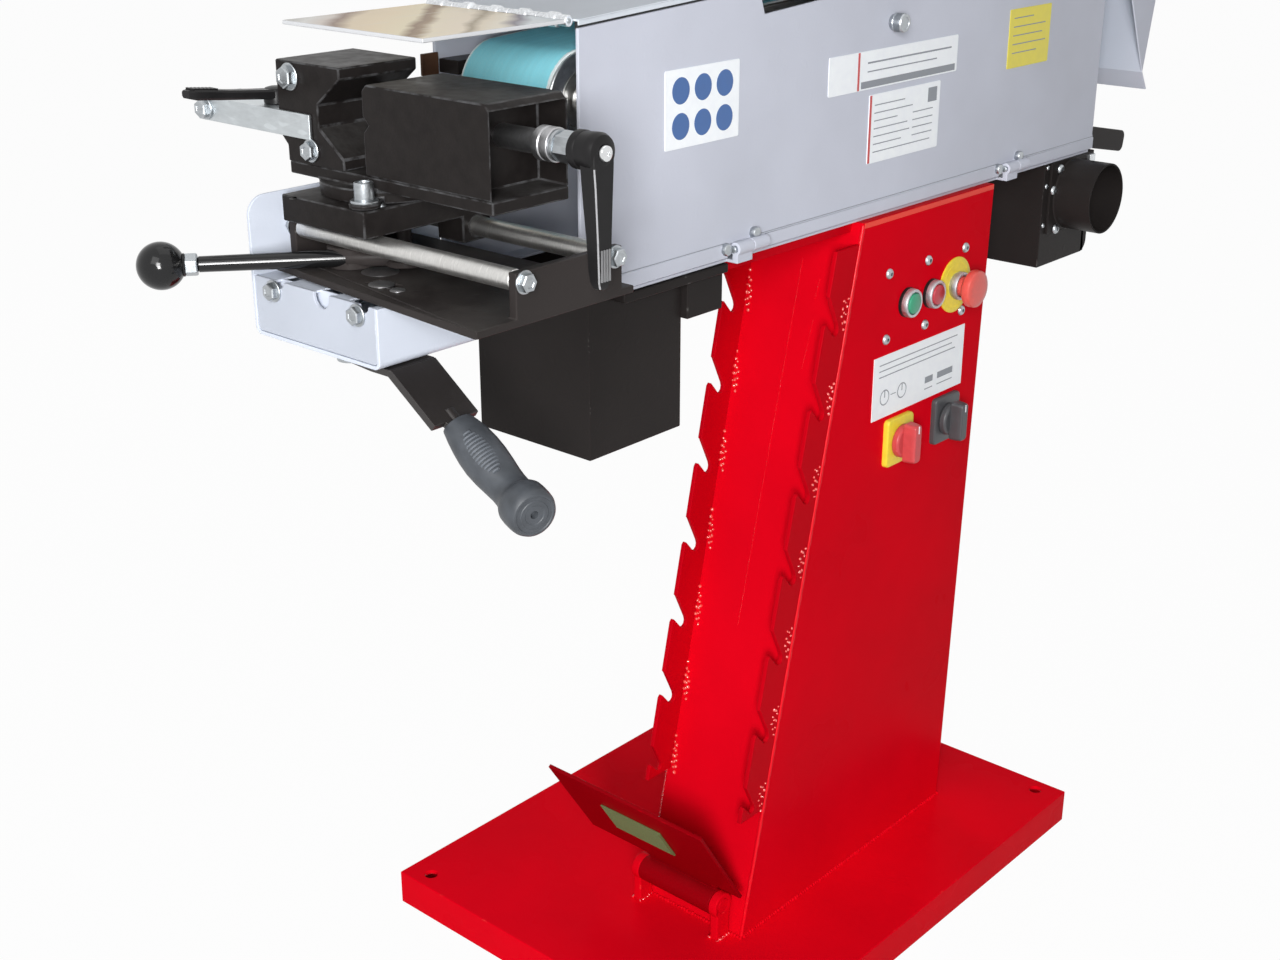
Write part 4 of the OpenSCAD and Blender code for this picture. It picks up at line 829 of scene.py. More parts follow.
def cap_head():
    """Socket head of an M10 cap screw on a thick washer."""
    s, flat = Sketch(), upright(0, 0, 0)
    s.turned([(10.5, 0.0), (10.7, 0.5), (10.7, 1.6), (10.2, 2.0), (0, 2.0)], flat, 40)
    return s.turned([(7.5, 1.9), (7.6, 2.4), (7.6, 14.8), (6.9, 15.6), (4.6, 15.6), (4.4, 15.2), (4.4, 9.0),
                     (0, 9.0)], flat, 40)


HEADS = {"hex": hex_head, "dome": dome_head, "cap": cap_head}


def fasteners(name, kind, body, spots, nodes):
    """A group of like heads on one body. Spots are (place, facing, scale)."""
    head = linked(name + "_head", sketch_mesh(name + "_head", HEADS[kind]()))
    grown(name, points_mesh(name, spots), "Fasteners", body, "zinc", "zinc", nodes, Head=head)
    mesh = head.data
    bpy.data.objects.remove(head)
    bpy.data.meshes.remove(mesh)


# Operators, one for each group of like pieces


class GRINDER_OT_finishes(bpy.types.Operator):
    """Mix the paints, metals, plastics and prints"""

    bl_idname = "grinder.finishes"
    bl_label = "Finishes"

    def execute(self, context):
        colours = context.scene.grinder_colours
        for entry in EFFECTS:
            effect(*entry)
        self.paints(colours)
        self.metals()
        self.plastics(colours)
        mirror_sheet("mirror_sheet", context.scene.grinder_stage.heading)
        belt_cloth("abrasive", colours.belt)
        # The grey ink also serves the door's fold line, as painted shade.
        for name, ink in (("white_film", (0.93, 0.96, 1.0)), ("blue_ink", (0.045, 0.125, 0.34)),
                          ("grey_ink", (0.24, 0.26, 0.29)), ("red_ink", (0.55, 0.05, 0.05)),
                          ("yellow_film", (0.80, 0.69, 0.06))):
            print_film(name, ink)
        return {"FINISHED"}

    def paints(self, c):
        """Name, colour, roughness, colour of the worn edges (wear and painted highlight), dust and shine of
        each paint.
        """
        # The red and black edge tones are lighter copies of the paint: wear and painted highlight.
        steel, chip_highlight, rub_highlight = (0.42, 0.41, 0.40), (0.86, 0.055, 0.05), (0.13, 0.125, 0.12)
        paint("red_paint", c.red, 0.30, chip_highlight, 0.01, 0.01, wear_and_highlight=0.4)
        # A darker copy of the red: painted shade on the racks and the rail arms.
        paint("red_rack", shade(c.red, 0.76), 0.32, c.red, 0.01, 0.02)
        # A lighter copy of the red: painted light on the base.
        paint("red_base", shade(c.red, 1.12), 0.26, (0.90, 0.06, 0.055), 0.0, 0.01)
        # A much darker copy of the red: painted shade on the pedal plate.
        paint("red_shade", shade(c.red, 0.40), 0.34, shade(c.red, 0.8), 0.01, 0.02)
        # Slightly lighter than the red, with some gloss: partly a painted highlight on the corner bead and the
        # seams.
        paint("red_sheen", shade(c.red, 1.05), 0.34, chip_highlight, 0.01, 0.2, coat=0.08)
        paint("red_gloss", c.red, 0.14, chip_highlight, 0.01, 0.6, coat=0.7)
        # A lighter orange-red: painted highlight along the column's top edge.
        paint("red_edge", (0.86, 0.075, 0.05), 0.30, (0.90, 0.15, 0.10), 0.01, 0.1)
        # Pinker and lighter than the red, with real gloss: partly a painted highlight on the weld stitches and
        # spatter.
        paint("weld_shine", (0.82, 0.10, 0.085), 0.12, (0.90, 0.3, 0.28), 0.0, 1.0, coat=0.9)
        paint("grey_paint", c.grey, 0.40, (0.78, 0.79, 0.82), 0.03, 0.25)
        paint("pale_paint", c.pale, 0.36, (0.86, 0.89, 0.94), 0.02, 0.25)
        # A darker copy of the pale paint: painted shade on the tray's front panel.
        paint("pale_panel", shade(c.pale, 0.76), 0.36, (0.82, 0.85, 0.90), 0.02, 0.25)
        paint("lid_sheet", (0.64, 0.68, 0.735), 0.40, (0.76, 0.79, 0.83), 0.0, 0.02, spread=0.1)
        paint("black_paint", c.black, 0.34, rub_highlight, 0.03, 0.06, spread=0.15)
        paint("lever_black", c.black, 0.42, rub_highlight, 0.03, 0.5, spread=0.15)
        paint("table_black", shade(c.black, 1.5), 0.36, rub_highlight, 0.1, 0.08, spread=0.15)
        paint("scale_brown", (0.105, 0.052, 0.032), 0.5, steel, 0.02, 0.1, spread=0.2)
        paint("motor_paint", c.motor, 0.46, steel, 0.14, 0.25, spread=0.1)
        casting("cast_black", c.black, 0.33, (0.075, 0.075, 0.078))

    def metals(self):
        """Name, colour, roughness, stretch and fineness of the grain of each metal."""
        even, drawn = (1.0, 1.0, 1.0), (1.0, 0.25, 1.0)
        metal("zinc", (0.45, 0.475, 0.495), 0.30, drawn, 420.0)
        metal("bright_zinc", (0.70, 0.72, 0.74), 0.36, even, 500.0, 0.2)
        metal("plate_zinc", (0.60, 0.635, 0.655), 0.34, drawn, 420.0, 0.08)
        metal("worked_steel", (0.46, 0.46, 0.47), 0.32, (1.0, 6.0, 1.0), 300.0)
        metal("steel", (0.44, 0.43, 0.415), 0.36, (0.05, 1.0, 1.0), 700.0)
        metal("ground_rod", (0.70, 0.69, 0.67), 0.36, (1.0, 9.0, 1.0), 260.0)
        metal("chrome", (0.78, 0.79, 0.80), 0.12, even, 160.0, 0.05, 0.00003)
        metal("bezel_metal", (0.52, 0.53, 0.55), 0.45, even, 320.0)
        metal("aluminium", (0.66, 0.67, 0.685), 0.30, (1.0, 7.0, 1.0), 240.0)

    def plastics(self, c):
        """Name, colour, roughness and grit of each plastic or rubber."""
        moulded("tyre_rubber", (0.021, 0.021, 0.022), 0.62, 500.0)
        moulded("grip_rubber", c.grip, 0.46, 300.0, spread=0.22, worn_and_lit_edge=(0.16, 0.17, 0.185), shine=0.35)
        moulded("grip_ribs", shade(c.grip, 2.0), 0.46, 700.0, shine=0.35)
        moulded("pad_rubber", c.pad, 0.6, 500.0)
        moulded("gloss_black", (0.0085, 0.0085, 0.009), 0.13, 160.0, coat=0.08, depth=0.00004, shine=0.3)
        # dull_black's pale edge tone only shows on the crank's marked facet, where it is a painted highlight.
        moulded("dull_black", (0.012, 0.0115, 0.012), 0.32, 600.0, wear_and_highlight=0.9, worn_and_lit_edge=(0.30, 0.30, 0.31),
                shine=0.15)
        moulded("worn_black", (0.20, 0.20, 0.205), 0.38, 600.0)
        moulded("dark_plastic", (0.058, 0.059, 0.064), 0.42, 600.0)
        moulded("yellow_plastic", c.yellow, 0.40)
        moulded("signal_red", c.signal, 0.36, coat=0.2, worn_and_lit_edge=(0.85, 0.25, 0.2))
        moulded("switch_red", (0.55, 0.06, 0.065), 0.40, worn_and_lit_edge=(0.72, 0.2, 0.18))
        moulded("stop_red", (0.46, 0.035, 0.05), 0.34, coat=0.2)
        moulded("start_green", (0.028, 0.30, 0.16), 0.34, coat=0.2)


# Piece, node, finish, edge size and steps of the rounding
SOFTENED = """
stand_base base_pan red_base plate_edge 3
stand_column column red_paint plate_edge 3
pedal_lugs pedal_brackets red_paint plate_edge 2
pedal_pivot pedal_shaft red_paint sheet_edge 2
pedal_plate foot_pedal red_shade sheet_edge 2
head_housing housing_body grey_paint sheet_edge 2
head_door side_door grey_paint sheet_edge 2
head_lid top_lid lid_sheet sheet_edge 2
lid_hinge_pins lid_pins zinc sheet_edge 2
hinge_and_pivot_pins pivot_pins zinc sheet_edge 2
front_spark_flap front_flap mirror_sheet sheet_edge 2
rear_spark_hood rear_guard grey_paint sheet_edge 2
spark_bin spark_box black_paint plate_edge 2
suction_box extraction_box black_paint plate_edge 2
belt_platen platen steel sheet_edge 2
tension_slide tension_arm steel plate_edge 2
contact_roller front_roller aluminium plate_edge 3
contact_roller_bearings roller_bearings steel sheet_edge 2
drive_wheel_rim drive_wheel aluminium plate_edge 2
drive_wheel_tyre wheel_tyre tyre_rubber casting_edge 3
drive_shaft motor_shaft steel sheet_edge 2
belt_tension_handle tension_lever black_paint casting_edge 3
motor_casing motor_body motor_paint sheet_edge 2
motor_terminal_box terminal_box motor_paint casting_edge 3
feed_table_frame feed_table table_black plate_edge 2
feed_table_rods guide_rods ground_rod plate_edge 2
vise_slide carriage cast_black casting_edge 3
vise_bed vise_base cast_black plate_edge 3
vise_fixed_jaw fixed_jaw cast_black casting_edge 3
vise_moving_jaw moving_jaw cast_black casting_edge 3
tube_stop_angle stop_bracket plate_zinc sheet_edge 2
feed_lever_bar feed_lever lever_black sheet_edge 2
"""


class GRINDER_OT_frame_pieces(bpy.types.Operator):
    """Build the plates, castings and turned pieces whose shape the frame gives, with rounded edges"""

    bl_idname = "grinder.frame_pieces"
    bl_label = "Plates and castings"

    def execute(self, context):
        sizes = context.scene.grinder_sizes
        for row in SOFTENED.strip().splitlines():
            name, node, finish, edge, steps = row.split()
            softened(name, node, finish, getattr(sizes, edge), int(steps))
        self.flap_sides()
        self.rails()
        for name, node in (("roller_rack_far", "rack_left"), ("roller_rack_near", "rack_right")):
            self.rack(name, node, sizes.sheet_edge)
        return {"FINISHED"}

    def flap_sides(self):
        """Marks the flap's upright faces as cut edge."""
        mesh = bpy.data.objects["front_spark_flap"].data
        edge = mesh.attributes["edge"].data
        for face in mesh.polygons:
            if abs(face.normal.z) < 0.5:
                edge[face.index].value = 1.0

    def rails(self):
        """Stepped rails under the head: deep and black at the spark bin, shallow to the column in the racks'
        darker red, a painted shade under the head.
        """
        low, high = box_mm("main_beam")
        width, step, shallow, inset = 30.0, -201.0, 10.0, 0.4
        deep, arms = Sketch(), Sketch()
        for y in (low.y, high.y - width):
            deep.block((low.x, y, low.z), (step, y + width, high.z))
            arms.block((step - 1, y + inset, high.z - shallow), (high.x, y + width - inset, high.z))
        rim = Sketch().block((-340, low.y - 6.5, high.z - 9.5), (step, low.y + 7, high.z - 1))
        made("head_rails", deep, "stand", "black_paint", ["main_beam"], edge=0.0014, steps=3)
        made("spark_bin_rim", rim, "stand", "black_paint", edge=0.0016, steps=3)
        made("head_rail_arms", arms, "stand", "red_rack", edge=0.0005)

    def rack(self, name, node, edge):
        """A plate with a row of slanted hook slots down its outer edge."""
        low, high = box_mm(node)
        reach, last_size, tip = 38.0, 0.8, 3.0
        slot = [(1.0, 0.0), (15.8, -30.5), (16.9, -34.8), (16.2, -38.4), (13.8, -40.7), (10.6, -41.0),
                (8.0, -39.6), (-3.6, -26.0)]

        def outer(z):
            """A point of the plate's outer edge."""
            return column_front(z) - reach, z

        outline = [(column_front(high.z), high.z), outer(high.z)]
        for i in range(HOOKS):
            x, z = outer(HOOK_TOP - HOOK_PITCH * i)
            size = 1.0 if i < HOOKS - 1 else last_size
            outline += [(x, z), *((x + a * size, z + b * size) for a, b in slot)]
            outline.append(outer(z + slot[-1][1] * size - tip))
        outline += [outer(low.z), (column_front(low.z), low.z)]
        rings = [[Vector((x, y, z)) for x, z in outline] for y in (low.y, high.y)]
        made(name, Sketch().loft(rings), "stand", "red_rack", [node], edge=edge)


class GRINDER_OT_tray(bpy.types.Operator):
    """Build the front tray: a folded channel with a front panel let into it"""

    bl_idname = "grinder.tray"
    bl_label = "Front tray"

    wall: length("Wall", "Sheet thickness of the tray", 0.003)
    fold: length("Fold", "Outer radius of the tray's folds", 0.007)
    seam: length("Seam", "Gap between the front panel and the channel", 0.0005)

    def execute(self, context):
        low, high = box_mm("front_tray")
        front, near, far, base, rim = low.x, low.y, high.y, low.z, 822.0
        wall, fold, seam, top_r, sink = self.wall / MM, self.fold / MM, self.seam / MM, 16.0, 0.7

        def channel(x, tall):
            """The channel's section: outer and inner line."""
            rows = []
            for t, r in ((0.0, fold), (wall, fold - wall)):
                rows.append([(far - t, tall), *bend(far - fold, base + fold, r, 0, -90),
                             *bend(near + fold, base + fold, r, -90, -180), (near + t, rim)])
            return [Vector((x, y, z)) for y, z in rows[0] + rows[1][::-1]]

        corner = bend(front + top_r, high.z - top_r, top_r, 180, 90)
        shell = Sketch().loft([channel(x, z) for x, z in corner] + [channel(high.x, high.z)])
        made("front_tray_shell", shell, "stand", "pale_paint", ["front_tray"], edge=0.0006)
        left, right, foot, r = far - wall - seam, near + wall + seam, base + wall + seam, fold - wall
        edge = [(right, rim)]
        for y, z, notch in ((-84, rim, 5.5), (-34.5, rim - 3, 9.0), (17, rim, 5.5)):
            edge += [(y - notch, rim), *bend(y, z, notch, 180, 360, 12), (y + notch, rim)]
        edge += [(left, rim), *bend(left - r, foot + r, r, 0, -90), *bend(right + r, foot + r, r, -90, -180)]
        panel = Sketch().prism([(z, y) for y, z in edge], -sink - wall, -sink, along_x(front, 0, 0))
        ledge = Sketch().block((front + 9, -62, rim - 30), (front + 11, left - 1, rim - 0.6))
        for y0, y1 in ((right + 1, -90.5), (-62, -45), (-24, 10.5), (23.5, left - 1)):
            ledge.block((front + 0.9 + wall, y0, rim - 2.4), (front + 30, y1, rim - 0.4))
        made("front_tray_ledge", ledge, "stand", "pale_paint", edge=0.0004)
        made("front_tray_panel", panel, "stand", "pale_panel", edge=0.0005)
        return {"FINISHED"}


class GRINDER_OT_belt(bpy.types.Operator):
    """Build the abrasive belt, with its grain side, cut edges and cloth side"""

    bl_idname = "grinder.belt"
    bl_label = "Abrasive belt"

    def execute(self, context):
        roller, wheel = (sum(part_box(n), Vector()) / 2 for n in ("front_roller", "drive_wheel"))
        axis = wheel - roller
        mesh = new_mesh("belt", node_mesh("abrasive_belt"))
        values = []
        for face in mesh.polygons:
            t = min(1.0, max(0.0, (face.center - roller).dot(axis) / axis.length_squared))
            out = face.center - (roller + axis * t)
            out.y = 0
            values.append(float(face.normal.dot(out) < 0 and abs(face.normal.y) < 0.5))
        mesh.attributes.new("inner", "FLOAT", "FACE").data.foreach_set("value", values)
        finished(linked("grinding_belt", mesh), "stand", "abrasive", ["abrasive_belt"])
        return {"FINISHED"}


class GRINDER_OT_welds(bpy.types.Operator):
    """Lay the weld beads of the stand"""

    bl_idname = "grinder.welds"
    bl_label = "Weld beads"

    def execute(self, context):
        sizes = context.scene.grinder_sizes
        near, far, floor = COLUMN_NEAR, COLUMN_FAR, 41
        hooks = [HOOK_PITCH * i for i in range(HOOKS)]

        def run(y, z0, z1, out=0.0, step=8):
            """A line up the column's front."""
            return [(column_front(z) - out, y, z) for z in range(z0, z1, step)]

        corner = [run(far, 42, 783)]
        stitches = [run(far - 6 - 2.6 * k, 690 - d - 5 * k, 722 - d - 9 * k, 1.0, 5) for k in range(3)
                    for d in hooks]
        stitches.append(run(far - 7, 746, 762, 1.0, 4))
        specks = [run(near - 0.2, 684 - d + 7 * k, 716 - d, 5 + 3.5 * k, 5) for k in range(3) for d in hooks]
        seam = [[(column_front(z), y0 + (y1 - y0) * (z0 - z) / (z0 - z1), z) for z in range(z0, z1, -6)]
                for z0, z1, y0, y1 in ((741, 360, -60.5, -55), (724, 705, -85, -83), (684, 630, -85, -81))]
        wide, deep = range(near, far + 1, 6), range(-166, 217, 6)
        foot = [[(-167, y, floor) for y in wide], [(x, near, floor) for x in deep],
                [(x, far, floor) for x in deep], [(217, y, floor) for y in wide]]
        lugs = [[(x, y, floor) for x in range(-187, -166, 3)] for y in (-110, -99, -1, 10)]
        for name, lines, width, pitch, seed, finish in [
                ("weld_column_corners", corner, 0.5, 0.6, 3, "red_gloss"),
                ("weld_rack_stitches", stitches, 0.75, 1.5, 5, "weld_shine"),
                ("weld_spatter", specks, 0.62, 1.7, 17, "weld_shine"),
                ("weld_front_seam", seam, 0.40, 0.5, 7, "red_sheen"),
                ("weld_column_foot", foot, 1.0, 0.9, 11, "red_paint"),
                ("weld_pedal_lugs", lugs, 1.1, 0.8, 13, "red_gloss")]:
            grown(name, lines_mesh(name, lines), "Weld bead", "stand", "red_paint", finish,
                  Pitch=sizes.weld_pitch * pitch, Width=sizes.weld_width * width, Seed=seed)
        bead = [[Vector((column_front(z) + 0.6 + x, near + 0.6 + y, z))
                 for x, y in circle(2.1 + 0.25 * math.sin(z * 0.31), 14)] for z in range(floor, 784, 7)]
        made("column_corner_bead", Sketch().loft(bead), "stand", "red_sheen")
        # A thin lighter strip along the column's top edge: a painted highlight.
        slab("column_top_strip", (2, near - 0.7, 779.5), (242, near + 0.5, 784.5), "stand",
             "red_edge", 0.0003)
        return {"FINISHED"}


class GRINDER_OT_fasteners(bpy.types.Operator):
    """Put in the bolts and screws"""

    bl_idname = "grinder.fasteners"
    bl_label = "Bolts and screws"

    def execute(self, context):
        front, near, far, up = (-1, 0, 0), (0, -1, 0), (0, 1, 0), (0, 0, 1)
        tray, jaw, angle = (box_mm(n)[0].x for n in ("front_tray", "fixed_jaw", "stop_bracket"))
        ends, lid = box_mm("feed_table"), box_mm("terminal_box")[1].z
        diagonals, flange = [math.radians(45 + 90 * i) for i in range(4)], 71
        for name, kind, body, spots, *nodes in [
                ("tray_bolts", "hex", "stand", [((tray + 0.7, y, 813.5), front, 0.96) for y in (24, -77)],
                 "frame_bolts"),
                ("column_cover_screws", "dome", "stand",
                 [((x, COLUMN_NEAR, z), near, 1.0) for x in (49, 120.5, 192) for z in (725, 656)]),
                ("spigot_screws", "dome", "stand",
                 [((x, -118, z), near, k) for x, z, k in
                  ((400, 775.5, 1.0), (387.5, 753, 0.95), (400, 706.5, 1.05), (464, 708, 1.0))]),
                ("suction_box_rivets", "dome", "stand",
                 [((x, -115, z), near, 0.5) for x, z in ((376.5, 780), (376, 759), (376, 714))]),
                ("slide_stud", "dome", "slide", [((-549, -60, 886), up, 0.75)]),
                ("rod_end_bolts", "hex", "table",
                 [((x, y, 856), f, 0.95) for x in (-552.5, -457.5)
                  for y, f in ((ends[0].y, near), (ends[1].y, far))],
                 "rod_bolts"),
                ("vise_jaw_bolts", "hex", "vise",
                 [((jaw, 41, 972), front, 1.15), ((jaw, 20, 917.5), front, 1.0),
                  ((angle, 151, 935.75), front, 1.0)],
                 "vise_bolts"),
                ("swivel_lock_screw", "cap", "vise", [((-562, -57, 890.8), up, 1.0)]),
                ("motor_flange_bolts", "hex", "stand",
                 [((MOTOR_X + flange * math.cos(a), 58, MOTOR_Z + flange * math.sin(a)), far, 0.9)
                  for a in diagonals]),
                ("terminal_box_screws", "dome", "stand",
                 [((x, y, lid), up, 0.8) for x in (386, 454) for y in (121, 185)])]:
            fasteners(name, kind, body, spots, nodes)
        return {"FINISHED"}


GRIP_PLACE = upright(-560, -100, 770) @ spin(-90, "Z") @ spin(35.5, "Y")
GRIP_START = 58.3


class GRINDER_OT_levers(bpy.types.Operator):
    """Build the ball lever, the crank, the spindle, the tube stop and the feed grip"""

    bl_idname = "grinder.levers"
    bl_label = "Levers and grips"

    def execute(self, context):
        self.ball_lever()
        self.table_top()
        self.crank()
        self.spindle()
        self.tube_stop()
        self.grip()
        self.grip_ribs(context.scene.grinder_sizes.grip_ribs)
        return {"FINISHED"}

    def ball_lever(self):
        """Rod, hub, nut and ball of the lever that locks the table."""
        x, y, z, reach, ball = -515, -45, 839, 185.5, 18.6
        place, neck = upright(x, y, z) @ spin(141.5, "Z") @ spin(90, "Y"), reach - ball
        lathe("ball_lever_rod", [(0, 44), (6.8, 44), (6.2, neck - 10), (5, neck - 9), (0, neck - 9)], place,
              28, "clamp", "gloss_black", ["clamp_lever"])
        hub = Sketch()
        hub.turned([(0, 8), (7.6, 8), (7.6, 45), (7.0, 46), (0, 46)], place, 28)
        hub.turned([(6.2, -7), (15.2, -7), (16, -6.2), (16, -2.2), (13, -1), (13, 5.6), (12, 7), (6.2, 7)],
                   upright(x, y, z), 44, looped=True)
        hub.turned([(0, 0), (18.2, 0), (18.8, 0.6), (18.8, 15.4), (17.6, 16.6), (0, 16.6)],
                   upright(-540, -10, 830.4), 44)
        made("ball_lever_hub", hub, "clamp", "table_black")
        nut = Sketch().hexagon(9.0, [(0.9, neck - 9), (1, neck - 8), (1, neck), (0.9, neck + 1)], place)
        made("ball_lever_nut", nut, "clamp", "zinc", edge=0.0004)
        start, steps = math.radians(152), 30
        arc = [(ball * math.sin(start * i / steps), reach + ball * math.cos(start * i / steps))
               for i in range(steps + 1)]
        throat = [(9.2, neck + 1.6), (8.8, neck + 0.6), (5.3, neck + 0.6), (5.3, reach - 12), (0, reach - 12)]
        lathe("ball_lever_knob", arc + throat, place, 48, "clamp", "gloss_black",
              ["ball_knob"])

    def table_top(self):
        """The feed table's slanted lip and the low caps beside the ball lever."""
        low, high = box_mm("feed_table")
        lip, deep, sunk = [(low.x, low.y), (low.x + 44.5, high.y), (low.x + 25, high.y)], 6, 0.2
        made("feed_table_lip", Sketch().prism(lip, -deep, -sunk, upright(0, 0, TABLE_TOP)), "table",
             "table_black", edge=0.0005)
        caps = Sketch()
        for x, y, r, h in ((-538.0, -42.0, 15.0, 0.3), (-562.0, -71.0, 10.0, 1.2), (-565.0, -93.0, 6.0, 1.2)):
            caps.turned([(0, -0.5), (r, -0.5), (r, 0.3 * h), (r * 0.86, 0.65 * h), (r * 0.5, 0.92 * h),
                         (0, h)], upright(x, y, TABLE_TOP), 40)
        made("feed_table_bushes", caps, "table", "worked_steel")

    def crank(self):
        """Hub, tapered arm, ribs and end screw of the crank."""
        x, z, front = SPINDLE_X, SPINDLE_Z, -252.0
        axis = along_y(x, front, z)
        s = Sketch().turned([(13, -25), (14, -24), (14, -19), (13.4, -18), (13.6, -14), (14, -9), (14, -4.5),
                             (12.5, -1.6), (9, -0.2), (6.6, 0), (6.4, -1.2), (0, -1.2)], axis, 44)
        # distance down, half width, sink of the front face, thickness
        rows = [(0, 11.0, 0.5, 14.5), (10, 10.4, 0.2, 14.5), (24, 9.4, 0, 14.2), (40, 8.6, 0, 13.4),
                (60, 7.6, 0, 12.2), (72, 7.2, 0, 11.6), (84, 6.8, 0, 11), (92, 6.0, 0.6, 10.4),
                (96.5, 4.2, 1.4, 9.6), (98, 2.0, 2.6, 8.4)]
        s.loft([[Vector((x + a, b, z - down)) for a, b in
                 chamfered(half, front + sink, front + thick - sink * 0.5, min(0.9, half * 0.5))]
                for down, half, sink, thick in rows])
        arm = made("crank_handle", s, "crank", "dull_black", ["crank_arm"])
        # Marks the arm's lower facet that faces front and left, so dull_black's pale edge tone paints a
        # highlight line on it.
        painted_highlight = arm.data.attributes.new("edge", "FLOAT", "FACE")
        painted_highlight.data.foreach_set("value", [float(f.normal.x < -0.4 and f.normal.y < -0.4 and
                                                f.center.z < (z - 12) * MM) for f in arm.data.polygons])
        rib = Sketch().block((x - 4.6, front - 0.9, z - 91), (x - 3.4, front + 0.8, z - 68))
        grown("crank_handle_ribs", sketch_mesh("rib", rib), "Rib row", "crank", "black_paint", "worn_black",
              Count=4, Step=(2.7 * MM, 0, 0))
        lathe("crank_screw", [(5.9, -2), (6.0, 1.2), (5.4, 2.6), (3.6, 3.6), (1.5, 3.8), (1.3, 2.4),
                              (0, 2.4)], axis, 36, "crank", "chrome")

    def spindle(self):
        """The vise spindle with its collars and its nut."""
        rod = along_y(SPINDLE_X, -180.3, SPINDLE_Z)
        lathe("crank_spindle", [(0, -58), (8.4, -58), (9, -57), (9, 11), (12.2, 11.4), (12.6, 12), (12.6, 18),
                                (11.8, 18.6), (11.8, 19.4), (12.6, 20), (12.6, 26.6), (12, 27.2), (0, 27.2)],
              rod, 44, "crank", "worked_steel", ["spindle"], edge=0.0003)
        nut = Sketch().turned([(0, 27.2), (11, 27.2), (11.4, 27.6), (11.4, 30.4), (11, 30.8), (0, 30.8)], rod,
                              40)
        nut.hexagon(11.6, [(0.9, 30.7), (1, 31.7), (1, 45.4), (0.9, 46.4)], rod, math.radians(15))
        made("crank_spindle_nut", nut, "crank", "zinc", edge=0.0003)

    def tube_stop(self):
        """The tube stop's lever, which rises to the front, and its ridges."""
        x, y, z, rise = -533.0, 80.0, 945.8, math.tan(math.radians(6.5))
        s = Sketch().turned([(0, -12), (3.6, -12), (4, -11.5), (4, 0), (9.4, 0), (10, 0.6), (10, 9.5),
                             (8.5, 12), (5, 13), (0, 13)], upright(x, y, z), 36)
        # distance out, half width, bottom, top
        rows = [(0, 8, 3.2, 11), (20, 6.6, 3.2, 10.6), (45, 6.2, 3, 10.4), (66, 7, 3, 11), (78, 7.2, 3, 11),
                (84, 4.8, 4, 10)]
        s.loft([[Vector((x - out, y + a, z + b + out * rise)) for a, b in chamfered(half, low, high, 1.6)]
                for out, half, low, high in rows])
        made("tube_stop_lever", s, "stop", "dull_black", ["stop_lever"])
        end, pitch = z + 79 * rise, 3.4 * MM
        ridge = Sketch().block((x - 80, y - 5.2, end + 10.2), (x - 78.4, y + 5.2, end + 12))
        grown("tube_stop_ridges", sketch_mesh("ridge", ridge), "Rib row", "stop", "black_plastic",
              "dull_black", Count=7, Step=(pitch, 0, -pitch * rise))

    def bent(self, along, y, z):
        """A point of the grip, which bows sideways and up over its last half."""
        bow, bend_from, bend_to = math.radians(34), 50.0, 100.0
        angle = bow * min(1.0, max(0.0, (along - bend_from) / (bend_to - bend_from)))
        radius, past = (bend_to - bend_from) / bow, max(0.0, along - bend_to)
        reach = min(along, bend_from) + radius * math.sin(angle) + past * math.cos(angle)
        side = radius * (1 - math.cos(angle)) + past * math.sin(angle)
        out = Vector((0.0, -0.55, 0.83)).normalized()
        across = Vector((0.0, -out.z, out.y))
        a, b = Vector((0.0, y, z)).dot(out), Vector((0.0, y, z)).dot(across)
        tip = Vector((GRIP_START + reach - a * math.sin(angle), 0.0, 0.0))
        return GRIP_PLACE @ (tip + out * (side + a * math.cos(angle)) + across * b)

    def grip(self):
        """The feed lever's grip: an oval handle that ends in a round knob with a stepped end."""
        steps = 48
        # distance along, half width, half height, drop of the centre
        rows = [(0, 12.4, 9.6, 0), (0.8, 13.6, 10.8, 0), (5, 14.6, 12.0, 0), (10, 15.8, 13.4, 0),
                (18, 17.2, 15.2, 0), (28, 18.2, 16.6, 0.3), (38, 18.4, 17.0, 0.6), (48, 17.6, 16.4, 0.6),
                (58, 16.2, 15.4, 0.3), (66, 15.4, 14.8, 0), (72, 15.4, 15.0, 0), (76.5, 16.2, 16.0, 0)]
        # distance along, radius
        knob = [(80, 18.2), (83, 19.4), (88, 19.8), (95, 19.7), (99, 19.3), (102, 18), (103.4, 16.4),
                (103.6, 15.0), (103.0, 14.4), (103.0, 11.6), (103.5, 11.0), (103.5, 8.0), (103.0, 7.4),
                (103.0, 3.2), (98.0, 2.8)]
        turns = [2 * math.pi * i / steps for i in range(steps)]
        rings = [[self.bent(along, wide * math.cos(t), high * math.sin(t) - drop) for t in turns]
                 for along, wide, high, drop in rows + [(along, r, r, 0) for along, r in knob]]
        made("feed_lever_grip", Sketch().loft(rings), "feed", "grip_rubber", ["feed_grip"])

    def grip_ribs(self, count):
        """Two oval patches of ribs across the grip, for thumb and fingers."""
        middle, reach, spread, drop, bury = 36, 20, math.radians(27), 0.45, 2
        for name, side, finish in (("feed_grip_thumb_ribs", 126, "grip_ribs"),
                                   ("feed_grip_finger_ribs", 292, "grip_rubber")):
            patch = Sketch()
            for i in range(count):
                t = (i + 0.5) / count * 2 - 1
                base, half = GRIP_START + (middle + reach * t), spread * math.sqrt(1 - t * t)
                strip = []
                for k in range(9):
                    share = k / 4 - 1
                    a, lift = math.radians(side) + half * share, 1.25 * (1 - share ** 4)
                    strip.append([GRIP_PLACE @ Vector((base + x, (18.2 + up) * math.cos(a),
                                                       (16.8 + up) * math.sin(a) - drop))
                                  for x, up in ((-1.2, -bury), (-0.7, lift), (0.7, lift), (1.2, -bury))])
                patch.loft(strip)
            made(name, patch, "feed", finish)


